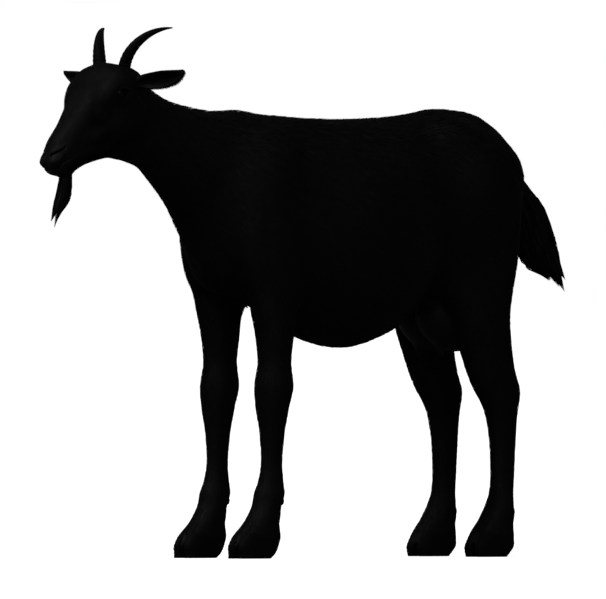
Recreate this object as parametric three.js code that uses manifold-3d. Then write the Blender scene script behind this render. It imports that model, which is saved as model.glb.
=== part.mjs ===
// An adult doe goat, standing square: smooth black coat, two horns, a beard, a full udder.
//
// Millimetres, +Z up. The goat faces -Y, its left side is +X, and its claws stand on Z = 0.
// The origin is on the floor, below the middle of the length from lips to tail tip.
//
// The flesh is one smooth field, negative inside. It is built from lofts, whose rows give the
// outline of each part, and from ellipsoids for the muscles. Capsules are laid over that field
// and joined into one body, which flat cuts then part into trunk, neck, head, udder and legs.
// All fields are written for the left side and mirrored by taking the absolute value of x.
import * as THREE from 'three';
import { mergeVertices } from 'three/addons/utils/BufferGeometryUtils.js';
import Module from 'manifold-3d';

const wasm = await Module();
wasm.setup();

// ---------------------------------------------------------------- driving dimensions

const MID_LENGTH = -81; // y of the middle of the length, measured from the trunk's own zero
const CUT = 0.3; // the gap that parts two neighbours

const TRUNK = [ // y, back line, widest level, belly line, half width
  [-330, 620, 560, 508, 22],
  [-305, 678, 560, 474, 52],
  [-272, 724, 560, 450, 78],
  [-226, 744, 555, 438, 98],
  [-160, 742, 545, 409, 112],
  [-94, 737, 530, 374, 122],
  [-10, 736, 520, 355, 131],
  [70, 738, 530, 371, 128],
  [136, 744, 550, 412, 113],
  [202, 752, 580, 440, 97],
  [260, 748, 600, 480, 86],
  [305, 730, 615, 520, 72],
  [345, 695, 625, 562, 47],
  [368, 662, 630, 592, 26],
];

// Muscles and bones that shape the trunk: centre and radii in x, y, z; then the blend's width
// and the lean in degrees.
const MUSCLES = {
  shoulderBlade: [[64, -222, 610], [34, 58, 110], 30, -14],
  pointOfShoulder: [[60, -262, 530], [38, 30, 58], 20, 0],
  upperArm: [[74, -196, 500], [32, 40, 78], 30, 18],
  brisket: [[0, -262, 484], [44, 46, 40], 24, 0],
  haunch: [[60, 236, 600], [42, 84, 110], 50, 0],
  pinBone: [[44, 319, 633], [26, 26, 46], 30, 0],
  hookBone: [[58, 186, 704], [26, 36, 26], 36, 0],
};
// The exponents of the sections: 2 is an oval, and more than that is squarer.
const SQUARENESS = { trunk: 2.1, neck: 2, forehead: 2.5, jaw: 1.9, leg: 2.2 };
const BODY_BLEND = { neck: 50, foreleg: 24, hindleg: 30, legStump: 27, udder: 14, claw: 4 };

const NECK_ROOT = [-240, 607]; // y and z, inside the shoulders
const NECK_LINE = [-0.869, 0.494]; // towards the head
const NECK = [ // along, crest, throat, half width
  [0, 116, -104, 80],
  [60, 115, -92, 74],
  [104, 103, -80, 66],
  [128, 93, -75, 60],
  [166, 79, -69, 52],
  [200, 68, -61.5, 47],
  [236, 61, -64, 44],
  [262, 53, -70, 42],
  [290, 28, -70, 34],
];

const POLL = [-507, 829]; // y and z of the top of the skull
const FACE_LINE = [-0.652, -0.758]; // from the poll towards the lips
const HEAD = [ // along, face line, widest level, jaw line, half width
  [-26, -46, -50, -60, 8],
  [-18, -29, -40, -74, 27],
  [0, 4, -34, -104, 49],
  [30, 21, -30, -127, 55],
  [60, 23, -28, -128, 53],
  [90, 21, -30, -115, 49],
  [120, 18.5, -30, -97, 41],
  [150, 16, -28, -77, 33],
  [175, 15.5, -22, -60, 29.5],
  [198, 12, -16, -49, 26.5],
  [212, 6, -14, -42, 24],
  [222, -3, -14, -32, 18],
  [227, -11, -15, -21, 8],
];

// Forms that swell out of the head: centre and radii in x, along, up; then the blend's width.
const HEAD_FORMS = {
  brow: [[42, 56, 1], [19, 30, 17], 14],
  cheek: [[34, 80, -60], [14, 36, 26], 20],
  nostrilWing: [[14, 205, -6], [11, 16, 11], 8],
  chin: [[0, 206, -40], [15, 16, 12], 8],
};
const HEAD_BLEND = { eye: 8, neck: 18 };

const EYE = { x: 43, along: 55, up: -14, radius: 14, slant: 26 };
const LIDS = { width: 25, height: 15, skin: 2.6, depth: 30 };
const NOSTRIL = { x: 20, along: 205, up: 0, length: 22, height: 4.6, depth: 7, slant: 24 };
const MOUTH = { // x, up, along
  corners: [[0, -14, 228], [14, -13, 221], [24, -19, 206], [28, -32, 182], [31, -44, 154]],
  radius: 1.8,
};

const FORELEG_X = 71;
const FORELEG = [ // height, middle y, half depth, half width
  [20, -256, 34, 24],
  [46, -246, 33, 24],
  [66, -236, 29, 25],
  [88, -228, 25, 24],
  [107, -222, 25, 23.5],
  [128, -219, 21, 19],
  [160, -217, 18, 14.5],
  [207, -216, 21.5, 17.5],
  [248, -216, 27, 24.5],
  [288, -212, 33, 30],
  [328, -209.5, 28, 25],
  [369, -210, 32, 28],
  [420, -212, 41, 31],
  [480, -212, 54, 34],
  [560, -212, 44, 24],
  [610, -212, 14, 10],
];

const HINDLEG_X = 75.5;
const HINDLEG = [ // height, middle y, half depth, half width
  [20, 253, 34, 24],
  [46, 264, 33, 24],
  [66, 272, 30, 25],
  [88, 278.5, 25, 23.5],
  [107, 281.5, 21.5, 19],
  [140, 284, 20, 15.5],
  [185, 284, 22.5, 16.5],
  [228, 283, 26, 20],
  [250, 281.5, 30, 24],
  [268, 278, 38, 26],
  [288, 270, 45, 27],
  [308, 262, 45.5, 28.5],
  [348, 250, 49, 31],
  [396, 237.5, 55.5, 36.5],
  [450, 229.5, 71.5, 37],
  [520, 228, 86, 38],
  [600, 228, 80, 34],
  [680, 225, 30, 16],
];

const CLAW = { spread: 13.6, halfWidth: 13.3 };
const FORE_CLAW = [ // height, middle y, half depth
  [0, -263, 32],
  [8, -259, 36],
  [20, -255.5, 40],
  [32, -250, 39],
  [48, -243, 32],
  [62, -237, 24],
];
const HIND_CLAW = [
  [0, 253, 32],
  [8, 256, 37],
  [18, 258.5, 40.5],
  [33, 262.5, 36.5],
  [49, 267, 30.5],
  [62, 271, 24],
];
const CORONET = { height: 37, slope: 0.2, foreY: -248, hindY: 263 }; // lower at the heel
const DEWCLAW = { spread: 12, foreHeight: 98, hindHeight: 78, radius: 7.5, length: 20, lean: 16, sunk: 5 };

const TAIL_ROOT = [345, 660];
const TAIL_LINE = [0.558, -0.83];
const TAIL = [ // along, middle, half depth, half width
  [-20, -4, 20, 18],
  [20, -4, 24, 20],
  [80, -2, 31, 23],
  [110, -4, 35, 24],
  [150, -8, 36, 22],
  [181, -8, 31, 19],
  [212, -5, 15, 12],
  [236, -2, 8, 7],
  [250, 0, 2, 2],
];

const BEARD = [ // height, middle y, half depth, half width
  [563, -632, 1, 1],
  [573, -628, 7, 4],
  [587, -621, 12, 8],
  [604, -615, 13, 10],
  [622, -611, 12, 10],
  [640, -609, 11.5, 10],
  [664, -606, 12, 11],
];

const EAR_ROOT = new THREE.Vector3(44, -494, 797);
const EAR_TIP = new THREE.Vector3(158, -476, 811);
const EAR_OPENING = new THREE.Vector3(0, -0.94, -0.34); // the way the cup faces
const EAR = [ // along, half height, back depth, front depth, rise
  [-12, 12, 12, 12, 0],
  [6, 11, 11, 9, 0],
  [26, 12.5, 9.5, -5, 0],
  [60, 15.5, 8, -5, -1],
  [85, 13.5, 6, -3.4, 1],
  [104, 8.5, 3.4, -1.4, 3.5],
  [116, 3, 1.4, 0.4, 5],
];

const HORN = {
  x: 32,
  y: -507,
  z: 820,
  out: 58,
  back: 58,
  rise: 69,
  spread: 0.8, // below 1 the horn leans out early
  base: 9.8,
  taper: 1.5, // above 1 it keeps its thickness for longer
  tip: 0.8,
  flat: 0.94,
};
const UDDER = { // one side's half, and the fullness at its floor behind
  half: [[24, 200, 412], [46, 62, 54]],
  floor: [[26, 216, 392], [38, 48, 36]],
  blend: 14,
};
const TEAT = { root: [27, 196, 372], tip: [30, 188, 341], rootRadius: 12, tipRadius: 5.5 };

// Where the flesh is parted.
const NECK_CUT = 75; // along the neck
const HEAD_CUT = { point: [-470, 780], normal: [-0.944, -0.33] };
const ELBOW = 398; // below it the foreleg stands free
const HOCK = 252; // knee and hock part the legs into upper and lower
const THIGH = { inside: 22, point: [150, 436], normal: [0.53, -0.848] };
const UDDER_CUT = { halfWidth: 42, front: 122, back: 300, top: 434 };
const FORELEG_CUT = { inside: 20, outside: 160, front: -340, back: -150 };
const HINDLEG_CUT = { outside: 160, front: 100 };
const LEG_STUMP = 405; // the trunk's own grid covers the legs down to here
const LEG_TOP = 424; // the legs' own grids reach up to here, inside the trunk
const LEG_FOOT = 24;
const FAR = 1200; // longer than the goat

// Faces of each grid: round it, along it, and in each rounded end.
const FACES = {
  trunk: { around: 28, along: 17, cap: 4 },
  neck: { around: 24, along: 8, cap: 1 },
  head: { around: 24, along: 16, cap: 3 },
  leg: { around: 12, along: 16, cap: 1 },
  udder: { around: 16, along: 2, cap: 3 },
  teat: { around: 8, along: 1, cap: 2 },
  tail: { around: 12, along: 9, cap: 1 },
  beard: { around: 8, along: 6, cap: 1 },
  horn: { around: 9, along: 9 },
  ear: { around: 10, along: 9 },
  eyeball: { around: 11, along: 7 },
  lids: { along: 5 },
  nostril: { around: 8, along: 6 },
  mouth: { around: 1, along: 8 },
  claw: { around: 8 },
  dewclaw: { around: 6, along: 4 },
};

// Where the axes of the grids run, from one end to the other.
const AXES = {
  trunk: [[0, -235, 575], [0, 295, 620]], // x, y, z
  neck: [[40, 20], [265, 5]], // along the neck and up from its line
  head: [[12, -42], [198, -16]], // the same for the face
  udder: [[0, 204, 392], [0, 204, 418]],
  tail: [-16, 246], // along the tail
  beard: [570, 662], // heights
};
const REACH = { neck: 150, head: 105, leg: 66 }; // how far a grid looks for the skin

const FINISH = {
  coat: { color: 0x0d0c0c, roughness: 0.6 },
  bare: { color: 0x171413, roughness: 0.5 },
  horn: { color: 0x1d1a17, roughness: 0.45 },
  eye: { color: 0x241505, roughness: 0.1 },
};

// ---------------------------------------------------------------- fields

const clamp = THREE.MathUtils.clamp;

// A smooth curve through the rows of a table; a row's first number is its place.
function through(rows) {
  const places = rows.map((row) => row[0]);
  const slopes = rows[0].map((unused, column) => {
    const rise = (i) => (rows[i + 1][column] - rows[i][column]) / (places[i + 1] - places[i]);
    return rows.map((row, i) => {
      const before = rise(Math.max(i - 1, 0));
      const after = rise(Math.min(i, rows.length - 2));
      return before * after > 0 ? (2 * before * after) / (before + after) : 0;
    });
  });
  return (place) => {
    const next = places.findIndex((value) => value > place);
    const i = clamp(next < 0 ? places.length : next, 1, places.length - 1) - 1;
    const span = places[i + 1] - places[i];
    const t = clamp((place - places[i]) / span, 0, 1);
    const result = [];
    for (let column = 1; column < rows[0].length; column += 1) {
      const start = rows[i][column];
      const end = rows[i + 1][column];
      const leaving = slopes[column][i] * span;
      const arriving = slopes[column][i + 1] * span;
      const bend = t * (1 - t) * ((1 - t) * (leaving + start - end) + t * (end - start - arriving));
      result.push(start + (end - start) * t + bend);
    }
    return result;
  };
}

// The smaller of two fields, rounded over a width where they cross.
function blend(a, b, width) {
  const overlap = Math.max(width - Math.abs(a - b), 0) / width;
  return Math.min(a, b) - (overlap * overlap * width) / 4;
}

// How far a point of a section's plane is outside an oval.
function oval(across, up, halfAcross, halfUp, exponent = SQUARENESS.neck) {
  const ratio = Math.abs(across / halfAcross) ** exponent + Math.abs(up / halfUp) ** exponent;
  return (Math.hypot(across, up) + 0.001) * (1 - 1 / (ratio ** (1 / exponent) + 0.0001));
}

// Closes a loft off at its first and last rows.
function capped(gap, place, rows) {
  return Math.max(gap, rows[0][0] - place, place - rows[rows.length - 1][0]);
}

// The ellipsoid's lean turns it about the x axis.
function ellipsoid(x, y, z, [cx, cy, cz], [rx, ry, rz], lean = 0) {
  const turn = THREE.MathUtils.degToRad(lean);
  const dx = x - cx;
  const dy = (y - cy) * Math.cos(turn) + (z - cz) * Math.sin(turn);
  const dz = (z - cz) * Math.cos(turn) - (y - cy) * Math.sin(turn);
  const near = Math.hypot(dx / rx, dy / ry, dz / rz) + 1e-6;
  return (near * (near - 1)) / (Math.hypot(dx / rx ** 2, dy / ry ** 2, dz / rz ** 2) + 1e-6);
}

// Swells a field by each of some forms.
function swell(field, forms, x, y, z) {
  return Object.values(forms).reduce(
    (sum, [centre, radii, width, lean]) => blend(sum, ellipsoid(x, y, z, centre, radii, lean), width),
    field,
  );
}

// Along and across a line that leans in the plane x = 0. Across points up, or out behind, with
// side -1 for a line that runs forward, and with side 1 for one that runs back.
function leaning(y, z, [rootY, rootZ], [lineY, lineZ], side) {
  const dy = y - rootY;
  const dz = z - rootZ;
  return [dy * lineY + dz * lineZ, side * (dz * lineY - dy * lineZ)];
}

const trunkRow = through(TRUNK);
function trunkField(x, y, z) {
  const [back, widest, belly, halfWidth] = trunkRow(y);
  const up = z - widest;
  const halfUp = up > 0 ? back - widest : widest - belly;
  return capped(oval(x, up, halfWidth, halfUp, SQUARENESS.trunk), y, TRUNK);
}

const neckRow = through(NECK);
function neckField(x, y, z) {
  const [along, up] = leaning(y, z, NECK_ROOT, NECK_LINE, -1);
  const [crest, throat, halfWidth] = neckRow(along);
  return capped(oval(x, up - (crest + throat) / 2, halfWidth, (crest - throat) / 2), along, NECK);
}

const headRow = through(HEAD);
function headField(x, y, z) {
  const [along, up] = leaning(y, z, POLL, FACE_LINE, -1);
  const [face, widest, jaw, halfWidth] = headRow(along);
  const over = up > widest;
  const halfUp = over ? face - widest : widest - jaw;
  const squareness = over ? SQUARENESS.forehead : SQUARENESS.jaw;
  const skull = capped(oval(x, up - widest, halfWidth, halfUp, squareness), along, HEAD);
  const eye = Math.hypot(x - EYE.x, along - EYE.along, up - EYE.up) - EYE.radius - LIDS.skin;
  return swell(blend(skull, eye, HEAD_BLEND.eye), HEAD_FORMS, x, along, up);
}

function legField(row, rows, legX) {
  return (x, y, z) => {
    const [middle, halfDepth, halfWidth] = row(z);
    return capped(oval(x - legX, y - middle, halfWidth, halfDepth, SQUARENESS.leg), z, rows);
  };
}
const forelegRow = through(FORELEG);
const hindlegRow = through(HINDLEG);
const forelegField = legField(forelegRow, FORELEG, FORELEG_X);
const hindlegField = legField(hindlegRow, HINDLEG, HINDLEG_X);

function clawField(rows, clawX) {
  const row = through(rows);
  return (x, y, z) => {
    const [middle, halfDepth] = row(z);
    return capped(oval(x - clawX, y - middle, CLAW.halfWidth, halfDepth, SQUARENESS.leg), z, rows);
  };
}

function udderField(x, y, z) {
  return blend(ellipsoid(x, y, z, ...UDDER.half), ellipsoid(x, y, z, ...UDDER.floor), UDDER.blend);
}

const tailRow = through(TAIL);
function tailField(x, y, z) {
  const [along, up] = leaning(y, z, TAIL_ROOT, TAIL_LINE, 1);
  const [middle, halfDepth, halfWidth] = tailRow(along);
  return capped(oval(x, up - middle, halfWidth, halfDepth), along, TAIL);
}

const beardRow = through(BEARD);
function beardField(x, y, z) {
  const [middle, halfDepth, halfWidth] = beardRow(z);
  return capped(oval(x, y - middle, halfWidth, halfDepth), z, BEARD);
}

// Trunk and neck with the muscles over shoulder and haunch, without the legs.
function torsoField(x, y, z) {
  const field = blend(trunkField(x, y, z), neckField(x, y, z), BODY_BLEND.neck);
  return swell(field, MUSCLES, x, y, z);
}

const clawFields = [[FORE_CLAW, FORELEG_X], [HIND_CLAW, HINDLEG_X]].flatMap(([rows, legX]) =>
  [-1, 1].map((side) => clawField(rows, legX + side * CLAW.spread)));

// All the flesh: tail, beard, ears and everything of horn are left out.
function fleshField(signedX, y, z) {
  const x = Math.abs(signedX);
  let field = torsoField(x, y, z);
  field = blend(field, forelegField(x, y, z), BODY_BLEND.foreleg);
  field = blend(field, hindlegField(x, y, z), BODY_BLEND.hindleg);
  field = blend(field, udderField(x, y, z), BODY_BLEND.udder);
  field = blend(field, headField(x, y, z), HEAD_BLEND.neck);
  return clawFields.reduce((sum, claw) => blend(sum, claw(x, y, z), BODY_BLEND.claw), field);
}

// ---------------------------------------------------------------- solids

const X_AXIS = new THREE.Vector3(1, 0, 0);
const Y_AXIS = new THREE.Vector3(0, 1, 0);
const Z_AXIS = new THREE.Vector3(0, 0, 1);

// A closed three.js geometry as a solid that can be joined and cut.
function solid(geometry) {
  const bare = geometry.clone();
  for (const name of ['normal', 'uv']) {
    bare.deleteAttribute(name);
  }
  const merged = mergeVertices(bare, 0.001);
  return new wasm.Manifold(new wasm.Mesh({
    numProp: 3,
    vertProperties: Float32Array.from(merged.attributes.position.array),
    triVerts: Uint32Array.from(merged.index.array),
  }));
}

// The way from a point inside a field to its skin, at most as long as the reach.
function wayOut(field, from, direction, reach) {
  const value = (way) => field(
    from.x + direction.x * way,
    from.y + direction.y * way,
    from.z + direction.z * way,
  );
  let inside = 0;
  let outside = 0;
  while (outside < reach) {
    const gap = value(outside);
    if (gap > 0) {
      break;
    }
    inside = outside;
    outside += Math.max(-gap * 0.5, 0.8);
  }
  for (let halving = 0; halving < 14; halving += 1) {
    const middle = (inside + outside) / 2;
    if (value(middle) > 0) {
      outside = middle;
    } else {
      inside = middle;
    }
  }
  return Math.min(outside, reach);
}

// Lays a capsule over a field. Its axis runs through the given place for 0 to 1, in the
// direction `line`; each vertex leaves the axis square to it, and at the ends all round.
function wrap(field, { axis, line, faces, reach = FAR, grow = 0 }) {
  const capsule = new THREE.CapsuleGeometry(1, 1, faces.cap, faces.around, faces.along);
  const position = capsule.attributes.position;
  const third = X_AXIS.clone().cross(line);
  const direction = new THREE.Vector3();
  const grown = (x, y, z) => field(x, y, z) - grow;
  for (let i = 0; i < position.count; i += 1) {
    const height = clamp(position.getY(i), -0.5, 0.5);
    direction.set(0, 0, 0)
      .addScaledVector(X_AXIS, position.getX(i))
      .addScaledVector(line, position.getY(i) - height)
      .addScaledVector(third, position.getZ(i))
      .normalize();
    const from = axis(height + 0.5);
    from.addScaledVector(direction, wayOut(grown, from, direction, reach + grow));
    position.setXYZ(i, from.x, from.y, from.z);
  }
  return solid(capsule);
}

// A place on a straight line in the plane x = 0, given along and across that line.
function onLine([rootY, rootZ], [lineY, lineZ], along, up, side) {
  return new THREE.Vector3(
    0,
    rootY + lineY * along - side * lineZ * up,
    rootZ + lineZ * along + side * lineY * up,
  );
}

// A place between two others, 0 at the first and 1 at the second.
function between([start, end], t) {
  return start.map((value, i) => THREE.MathUtils.lerp(value, end[i], t));
}

// A block that fills the space on the far side of a plane, beginning at half the cut.
function beyond(point, towards) {
  const normal = towards.clone().normalize();
  const space = new THREE.BoxGeometry(2 * FAR, 2 * FAR, 2 * FAR);
  space.translate(0, 0, FAR + CUT / 2);
  space.applyQuaternion(new THREE.Quaternion().setFromUnitVectors(Z_AXIS, normal));
  space.translate(point.x, point.y, point.z);
  return solid(space);
}

// A block between two corners, shrunk or grown by half the cut on every side.
function block(low, high, grow) {
  const size = high.map((value, i) => value - low[i] + 2 * grow);
  const box = new THREE.BoxGeometry(...size);
  box.translate(...high.map((value, i) => (value + low[i]) / 2));
  return solid(box);
}

// The largest piece of a solid; what a cut leaves beside it is dropped.
function largest(whole) {
  return whole.decompose().reduce((best, piece) => (piece.volume() > best.volume() ? piece : best));
}

// A left piece and its mirror image.
function pair(left) {
  return [left, left.mirror([1, 0, 0])];
}

// ---------------------------------------------------------------- the body, whole

// The trunk as a capsule can cover it: the legs are left off below a level under the elbows.
function wholeTorso(signedX, y, z) {
  const x = Math.abs(signedX);
  const legs = Math.min(forelegField(x, y, z), hindlegField(x, y, z));
  return blend(torsoField(x, y, z), Math.max(legs, LEG_STUMP - z), BODY_BLEND.legStump);
}
const TRUNK_GRID = {
  axis: (t) => new THREE.Vector3(...between(AXES.trunk, t)),
  line: Y_AXIS,
  faces: FACES.trunk,
};
const trunk = wrap(wholeTorso, TRUNK_GRID);

const neck = wrap(fleshField, {
  axis: (t) => onLine(NECK_ROOT, NECK_LINE, ...between(AXES.neck, t), -1),
  line: new THREE.Vector3(0, ...NECK_LINE),
  faces: FACES.neck,
  reach: REACH.neck,
});

const HEAD_GRID = {
  axis: (t) => onLine(POLL, FACE_LINE, ...between(AXES.head, t), -1),
  line: new THREE.Vector3(0, ...FACE_LINE),
  faces: FACES.head,
  reach: REACH.head,
};
const head = wrap(fleshField, HEAD_GRID);

function leg(row, legX, grow = 0) {
  const height = (t) => THREE.MathUtils.lerp(LEG_FOOT, LEG_TOP, t);
  return wrap(fleshField, {
    axis: (t) => new THREE.Vector3(legX, row(height(t))[0], height(t)),
    line: Z_AXIS,
    faces: FACES.leg,
    reach: REACH.leg,
    grow,
  });
}
const foreleg = leg(forelegRow, FORELEG_X);
const hindleg = leg(hindlegRow, HINDLEG_X);

// A teat is a capsule that narrows to its tip.
function teat() {
  const { cap, around, along } = FACES.teat;
  const capsule = new THREE.CapsuleGeometry(1, 1, cap, around, along);
  const tip = new THREE.Vector3(...TEAT.tip);
  const line = new THREE.Vector3(...TEAT.root).sub(tip);
  const position = capsule.attributes.position;
  for (let i = 0; i < position.count; i += 1) {
    const t = clamp(position.getY(i), -0.5, 0.5) + 0.5;
    const radius = THREE.MathUtils.lerp(TEAT.tipRadius, TEAT.rootRadius, t);
    const round = new THREE.Vector3(
      position.getX(i),
      -position.getZ(i),
      position.getY(i) - t + 0.5,
    );
    const place = tip.clone().addScaledVector(line, t).addScaledVector(round, radius);
    position.setXYZ(i, place.x, place.y, place.z);
  }
  return solid(capsule);
}
const udder = wrap((x, y, z) => udderField(Math.abs(x), y, z), {
  axis: (t) => new THREE.Vector3(...between(AXES.udder, t)),
  line: Z_AXIS,
  faces: FACES.udder,
});

const limbs = [foreleg, hindleg, teat()].flatMap(pair);
const body = limbs.reduce((sum, piece) => sum.add(piece), trunk.add(udder));

// ---------------------------------------------------------------- the body, parted

const neckLine = new THREE.Vector3(0, ...NECK_LINE);
const neckRoot = onLine(NECK_ROOT, NECK_LINE, NECK_CUT, 0, -1);
const headLine = new THREE.Vector3(0, ...HEAD_CUT.normal).normalize();
const nape = new THREE.Vector3(0, ...HEAD_CUT.point);
const aheadOfShoulders = beyond(neckRoot, neckLine);
const behindNeckCut = beyond(neckRoot, neckLine.clone().negate());
const aheadOfNape = beyond(nape, headLine);
const behindNape = beyond(nape, headLine.clone().negate());

const udderLow = [-UDDER_CUT.halfWidth, UDDER_CUT.front, 0];
const udderHigh = [UDDER_CUT.halfWidth, UDDER_CUT.back, UDDER_CUT.top];

// The left foreleg's space is a block; the left thigh's has a slanting top.
function foreSpace(grow) {
  const { inside, outside, front, back } = FORELEG_CUT;
  return block([inside, front, -FAR], [outside, back, ELBOW], grow);
}
function hindSpace(grow) {
  const tilt = new THREE.Vector3(0, ...THIGH.normal).normalize();
  const top = new THREE.Vector3(0, ...THIGH.point).addScaledVector(tilt, -grow - CUT / 2);
  const low = [THIGH.inside, HINDLEG_CUT.front, -FAR];
  return block(low, [HINDLEG_CUT.outside, FAR, FAR], grow).intersect(beyond(top, tilt));
}
const udderSpace = (grow) => block(udderLow, udderHigh, grow);

const half = CUT / 2;
const below = (height) => block([-FAR, -FAR, -FAR], [FAR, FAR, height], -half);
const above = (height) => block([-FAR, -FAR, height], [FAR, FAR, FAR], -half);

const limbSpaces = [foreSpace(half), hindSpace(half)].flatMap(pair);
const trunkPart = limbSpaces.reduce(
  (rest, space) => rest.subtract(space),
  body.intersect(behindNeckCut).subtract(udderSpace(half)),
);
const neckPart = neck.intersect(aheadOfShoulders).intersect(behindNape);
const udderPart = body.intersect(udderSpace(-half));
const forePart = body.intersect(foreSpace(-half));
const hindPart = body.intersect(hindSpace(-half)).subtract(udderSpace(half));

// ---------------------------------------------------------------- head pieces

// The face's own frame: x, then up from the face line, then along it from the poll.
const faceLine = new THREE.Vector3(0, ...FACE_LINE);
const faceUp = faceLine.clone().cross(X_AXIS);
const faceFrame = new THREE.Matrix4().makeBasis(X_AXIS, faceUp, faceLine).setPosition(0, ...POLL);

function eyeball(radius) {
  const ball = new THREE.SphereGeometry(radius, FACES.eyeball.around, FACES.eyeball.along);
  ball.rotateZ(-Math.PI / 2);
  ball.translate(EYE.x, EYE.up, EYE.along);
  return solid(ball.applyMatrix4(faceFrame));
}

// An almond prism over the eye: two arcs that meet in its corners.
function lidOpening() {
  const { width, height, depth } = LIDS;
  const radius = (width ** 2 + height ** 2) / (4 * height);
  const sweep = Math.asin(width / 2 / radius);
  const sag = radius - height / 2;
  const almond = new THREE.Shape();
  almond.absarc(-sag, 0, radius, -sweep, sweep, false);
  almond.absarc(sag, 0, radius, Math.PI - sweep, Math.PI + sweep, false);
  const curveSegments = FACES.lids.along;
  const prism = new THREE.ExtrudeGeometry(almond, { depth, bevelEnabled: false, curveSegments });
  prism.applyMatrix4(new THREE.Matrix4().makeBasis(Y_AXIS, Z_AXIS, X_AXIS));
  prism.rotateX(THREE.MathUtils.degToRad(-EYE.slant));
  prism.translate(EYE.x, EYE.up, EYE.along);
  return solid(prism.applyMatrix4(faceFrame));
}

function nostril() {
  const pit = new THREE.SphereGeometry(1, FACES.nostril.around, FACES.nostril.along);
  pit.scale(NOSTRIL.depth, NOSTRIL.height / 2, NOSTRIL.length / 2);
  pit.rotateX(THREE.MathUtils.degToRad(NOSTRIL.slant));
  pit.rotateY(THREE.MathUtils.degToRad(-NOSTRIL.slant));
  pit.translate(NOSTRIL.x, NOSTRIL.up, NOSTRIL.along);
  return solid(pit.applyMatrix4(faceFrame));
}

// The parting of the lips: a rod let half into the skin, from the middle back to the cheek.
function mouthGroove() {
  const places = MOUTH.corners.map(([x, up, along]) => new THREE.Vector3(x, up, along));
  const path = new THREE.CatmullRomCurve3(places);
  const section = new THREE.Shape().absarc(0, 0, MOUTH.radius, 0, 2 * Math.PI, false);
  const groove = new THREE.ExtrudeGeometry(section, {
    extrudePath: path,
    steps: FACES.mouth.along,
    curveSegments: FACES.mouth.around,
  });
  return solid(groove.applyMatrix4(faceFrame));
}

// A closed tube: a point of its wall lies where `place` puts it for its part of the length
// and its angle round the middle, with `round` 0 at the middles of the two flat ends.
function tube({ around, along }, place) {
  const cylinder = new THREE.CylinderGeometry(1, 1, 1, around, along);
  const position = cylinder.attributes.position;
  for (let i = 0; i < position.count; i += 1) {
    const round = Math.min(Math.hypot(position.getX(i), position.getZ(i)), 1);
    const angle = Math.atan2(position.getZ(i), position.getX(i));
    const point = place(position.getY(i) + 0.5, angle, round);
    position.setXYZ(i, point.x, point.y, point.z);
  }
  return solid(cylinder);
}

class HornLine extends THREE.Curve {
  getPoint(t) {
    const turn = (t * Math.PI) / 2;
    const away = 1 - Math.cos(turn);
    return new THREE.Vector3(
      HORN.x + HORN.out * away ** HORN.spread,
      HORN.y + HORN.back * away,
      HORN.z + HORN.rise * Math.sin(turn),
    );
  }
}

// A horn tapers slowly at first, and is a little flatter from side to side.
function horn() {
  const line = new HornLine();
  return tube(FACES.horn, (t, angle, round) => {
    const tangent = line.getTangent(clamp(t, 0.01, 0.99));
    const right = new THREE.Vector3(1, -1, 0).normalize();
    right.addScaledVector(tangent, -right.dot(tangent)).normalize();
    const third = right.clone().cross(tangent);
    const radius = round * (HORN.base * (1 - t ** HORN.taper) + HORN.tip);
    return line.getPoint(t)
      .addScaledVector(right, radius * Math.cos(angle))
      .addScaledVector(third, radius * HORN.flat * Math.sin(angle));
  });
}

// An ear is a cup: a round back, and a front that is full at the root and hollow beyond it.
function ear() {
  const row = through(EAR);
  const line = EAR_TIP.clone().sub(EAR_ROOT).normalize();
  const front = EAR_OPENING.clone().addScaledVector(line, -EAR_OPENING.dot(line)).normalize();
  const rise = line.clone().cross(front).negate();
  return tube(FACES.ear, (t, angle, round) => {
    const along = THREE.MathUtils.lerp(EAR[0][0], EAR[EAR.length - 1][0], t);
    const [halfHeight, backDepth, frontDepth, lift] = row(along);
    const across = Math.sin(angle) > 0 ? -backDepth : -frontDepth;
    return EAR_ROOT.clone()
      .addScaledVector(line, along)
      .addScaledVector(rise, lift + round * halfHeight * Math.cos(angle))
      .addScaledVector(front, round * across * Math.sin(angle));
  });
}

const headGrown = wrap(fleshField, { ...HEAD_GRID, grow: 2 * CUT });
const eyes = pair(eyeball(EYE.radius));
const leftCuts = [eyeball(EYE.radius + CUT), lidOpening(), nostril(), mouthGroove()]
  .reduce((sum, cutter) => sum.add(cutter));
const headPart = pair(leftCuts).reduce(
  (rest, cuts) => rest.subtract(cuts),
  head.intersect(aheadOfNape),
);
const horns = pair(horn()).map((piece) => piece.subtract(headGrown));
const ears = pair(ear()).map((piece) => piece.subtract(headGrown));

const beard = wrap((x, y, z) => beardField(Math.abs(x), y, z), {
  axis: (t) => {
    const height = THREE.MathUtils.lerp(...AXES.beard, t);
    return new THREE.Vector3(0, beardRow(height)[0], height);
  },
  line: Z_AXIS,
  faces: FACES.beard,
}).subtract(headGrown);

const tail = wrap((x, y, z) => tailField(Math.abs(x), y, z), {
  axis: (t) => {
    const along = THREE.MathUtils.lerp(...AXES.tail, t);
    return onLine(TAIL_ROOT, TAIL_LINE, along, tailRow(along)[0], 1);
  },
  line: new THREE.Vector3(0, ...TAIL_LINE),
  faces: FACES.tail,
}).subtract(wrap(wholeTorso, { ...TRUNK_GRID, grow: 2 * CUT }));

// ---------------------------------------------------------------- feet

// A claw's rings are the rows of its table, the first of them the edge of its flat sole.
function claw(rows, clawX) {
  const along = rows.length - 1;
  const bulge = (value) => Math.sign(value) * Math.abs(value) ** (2 / SQUARENESS.leg);
  return tube({ ...FACES.claw, along }, (t, angle, round) => {
    const [height, middle, halfDepth] = rows[Math.round(t * along)];
    return new THREE.Vector3(
      clawX + round * CLAW.halfWidth * bulge(Math.cos(angle)),
      middle - round * halfDepth * bulge(Math.sin(angle)),
      height,
    );
  });
}

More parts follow.
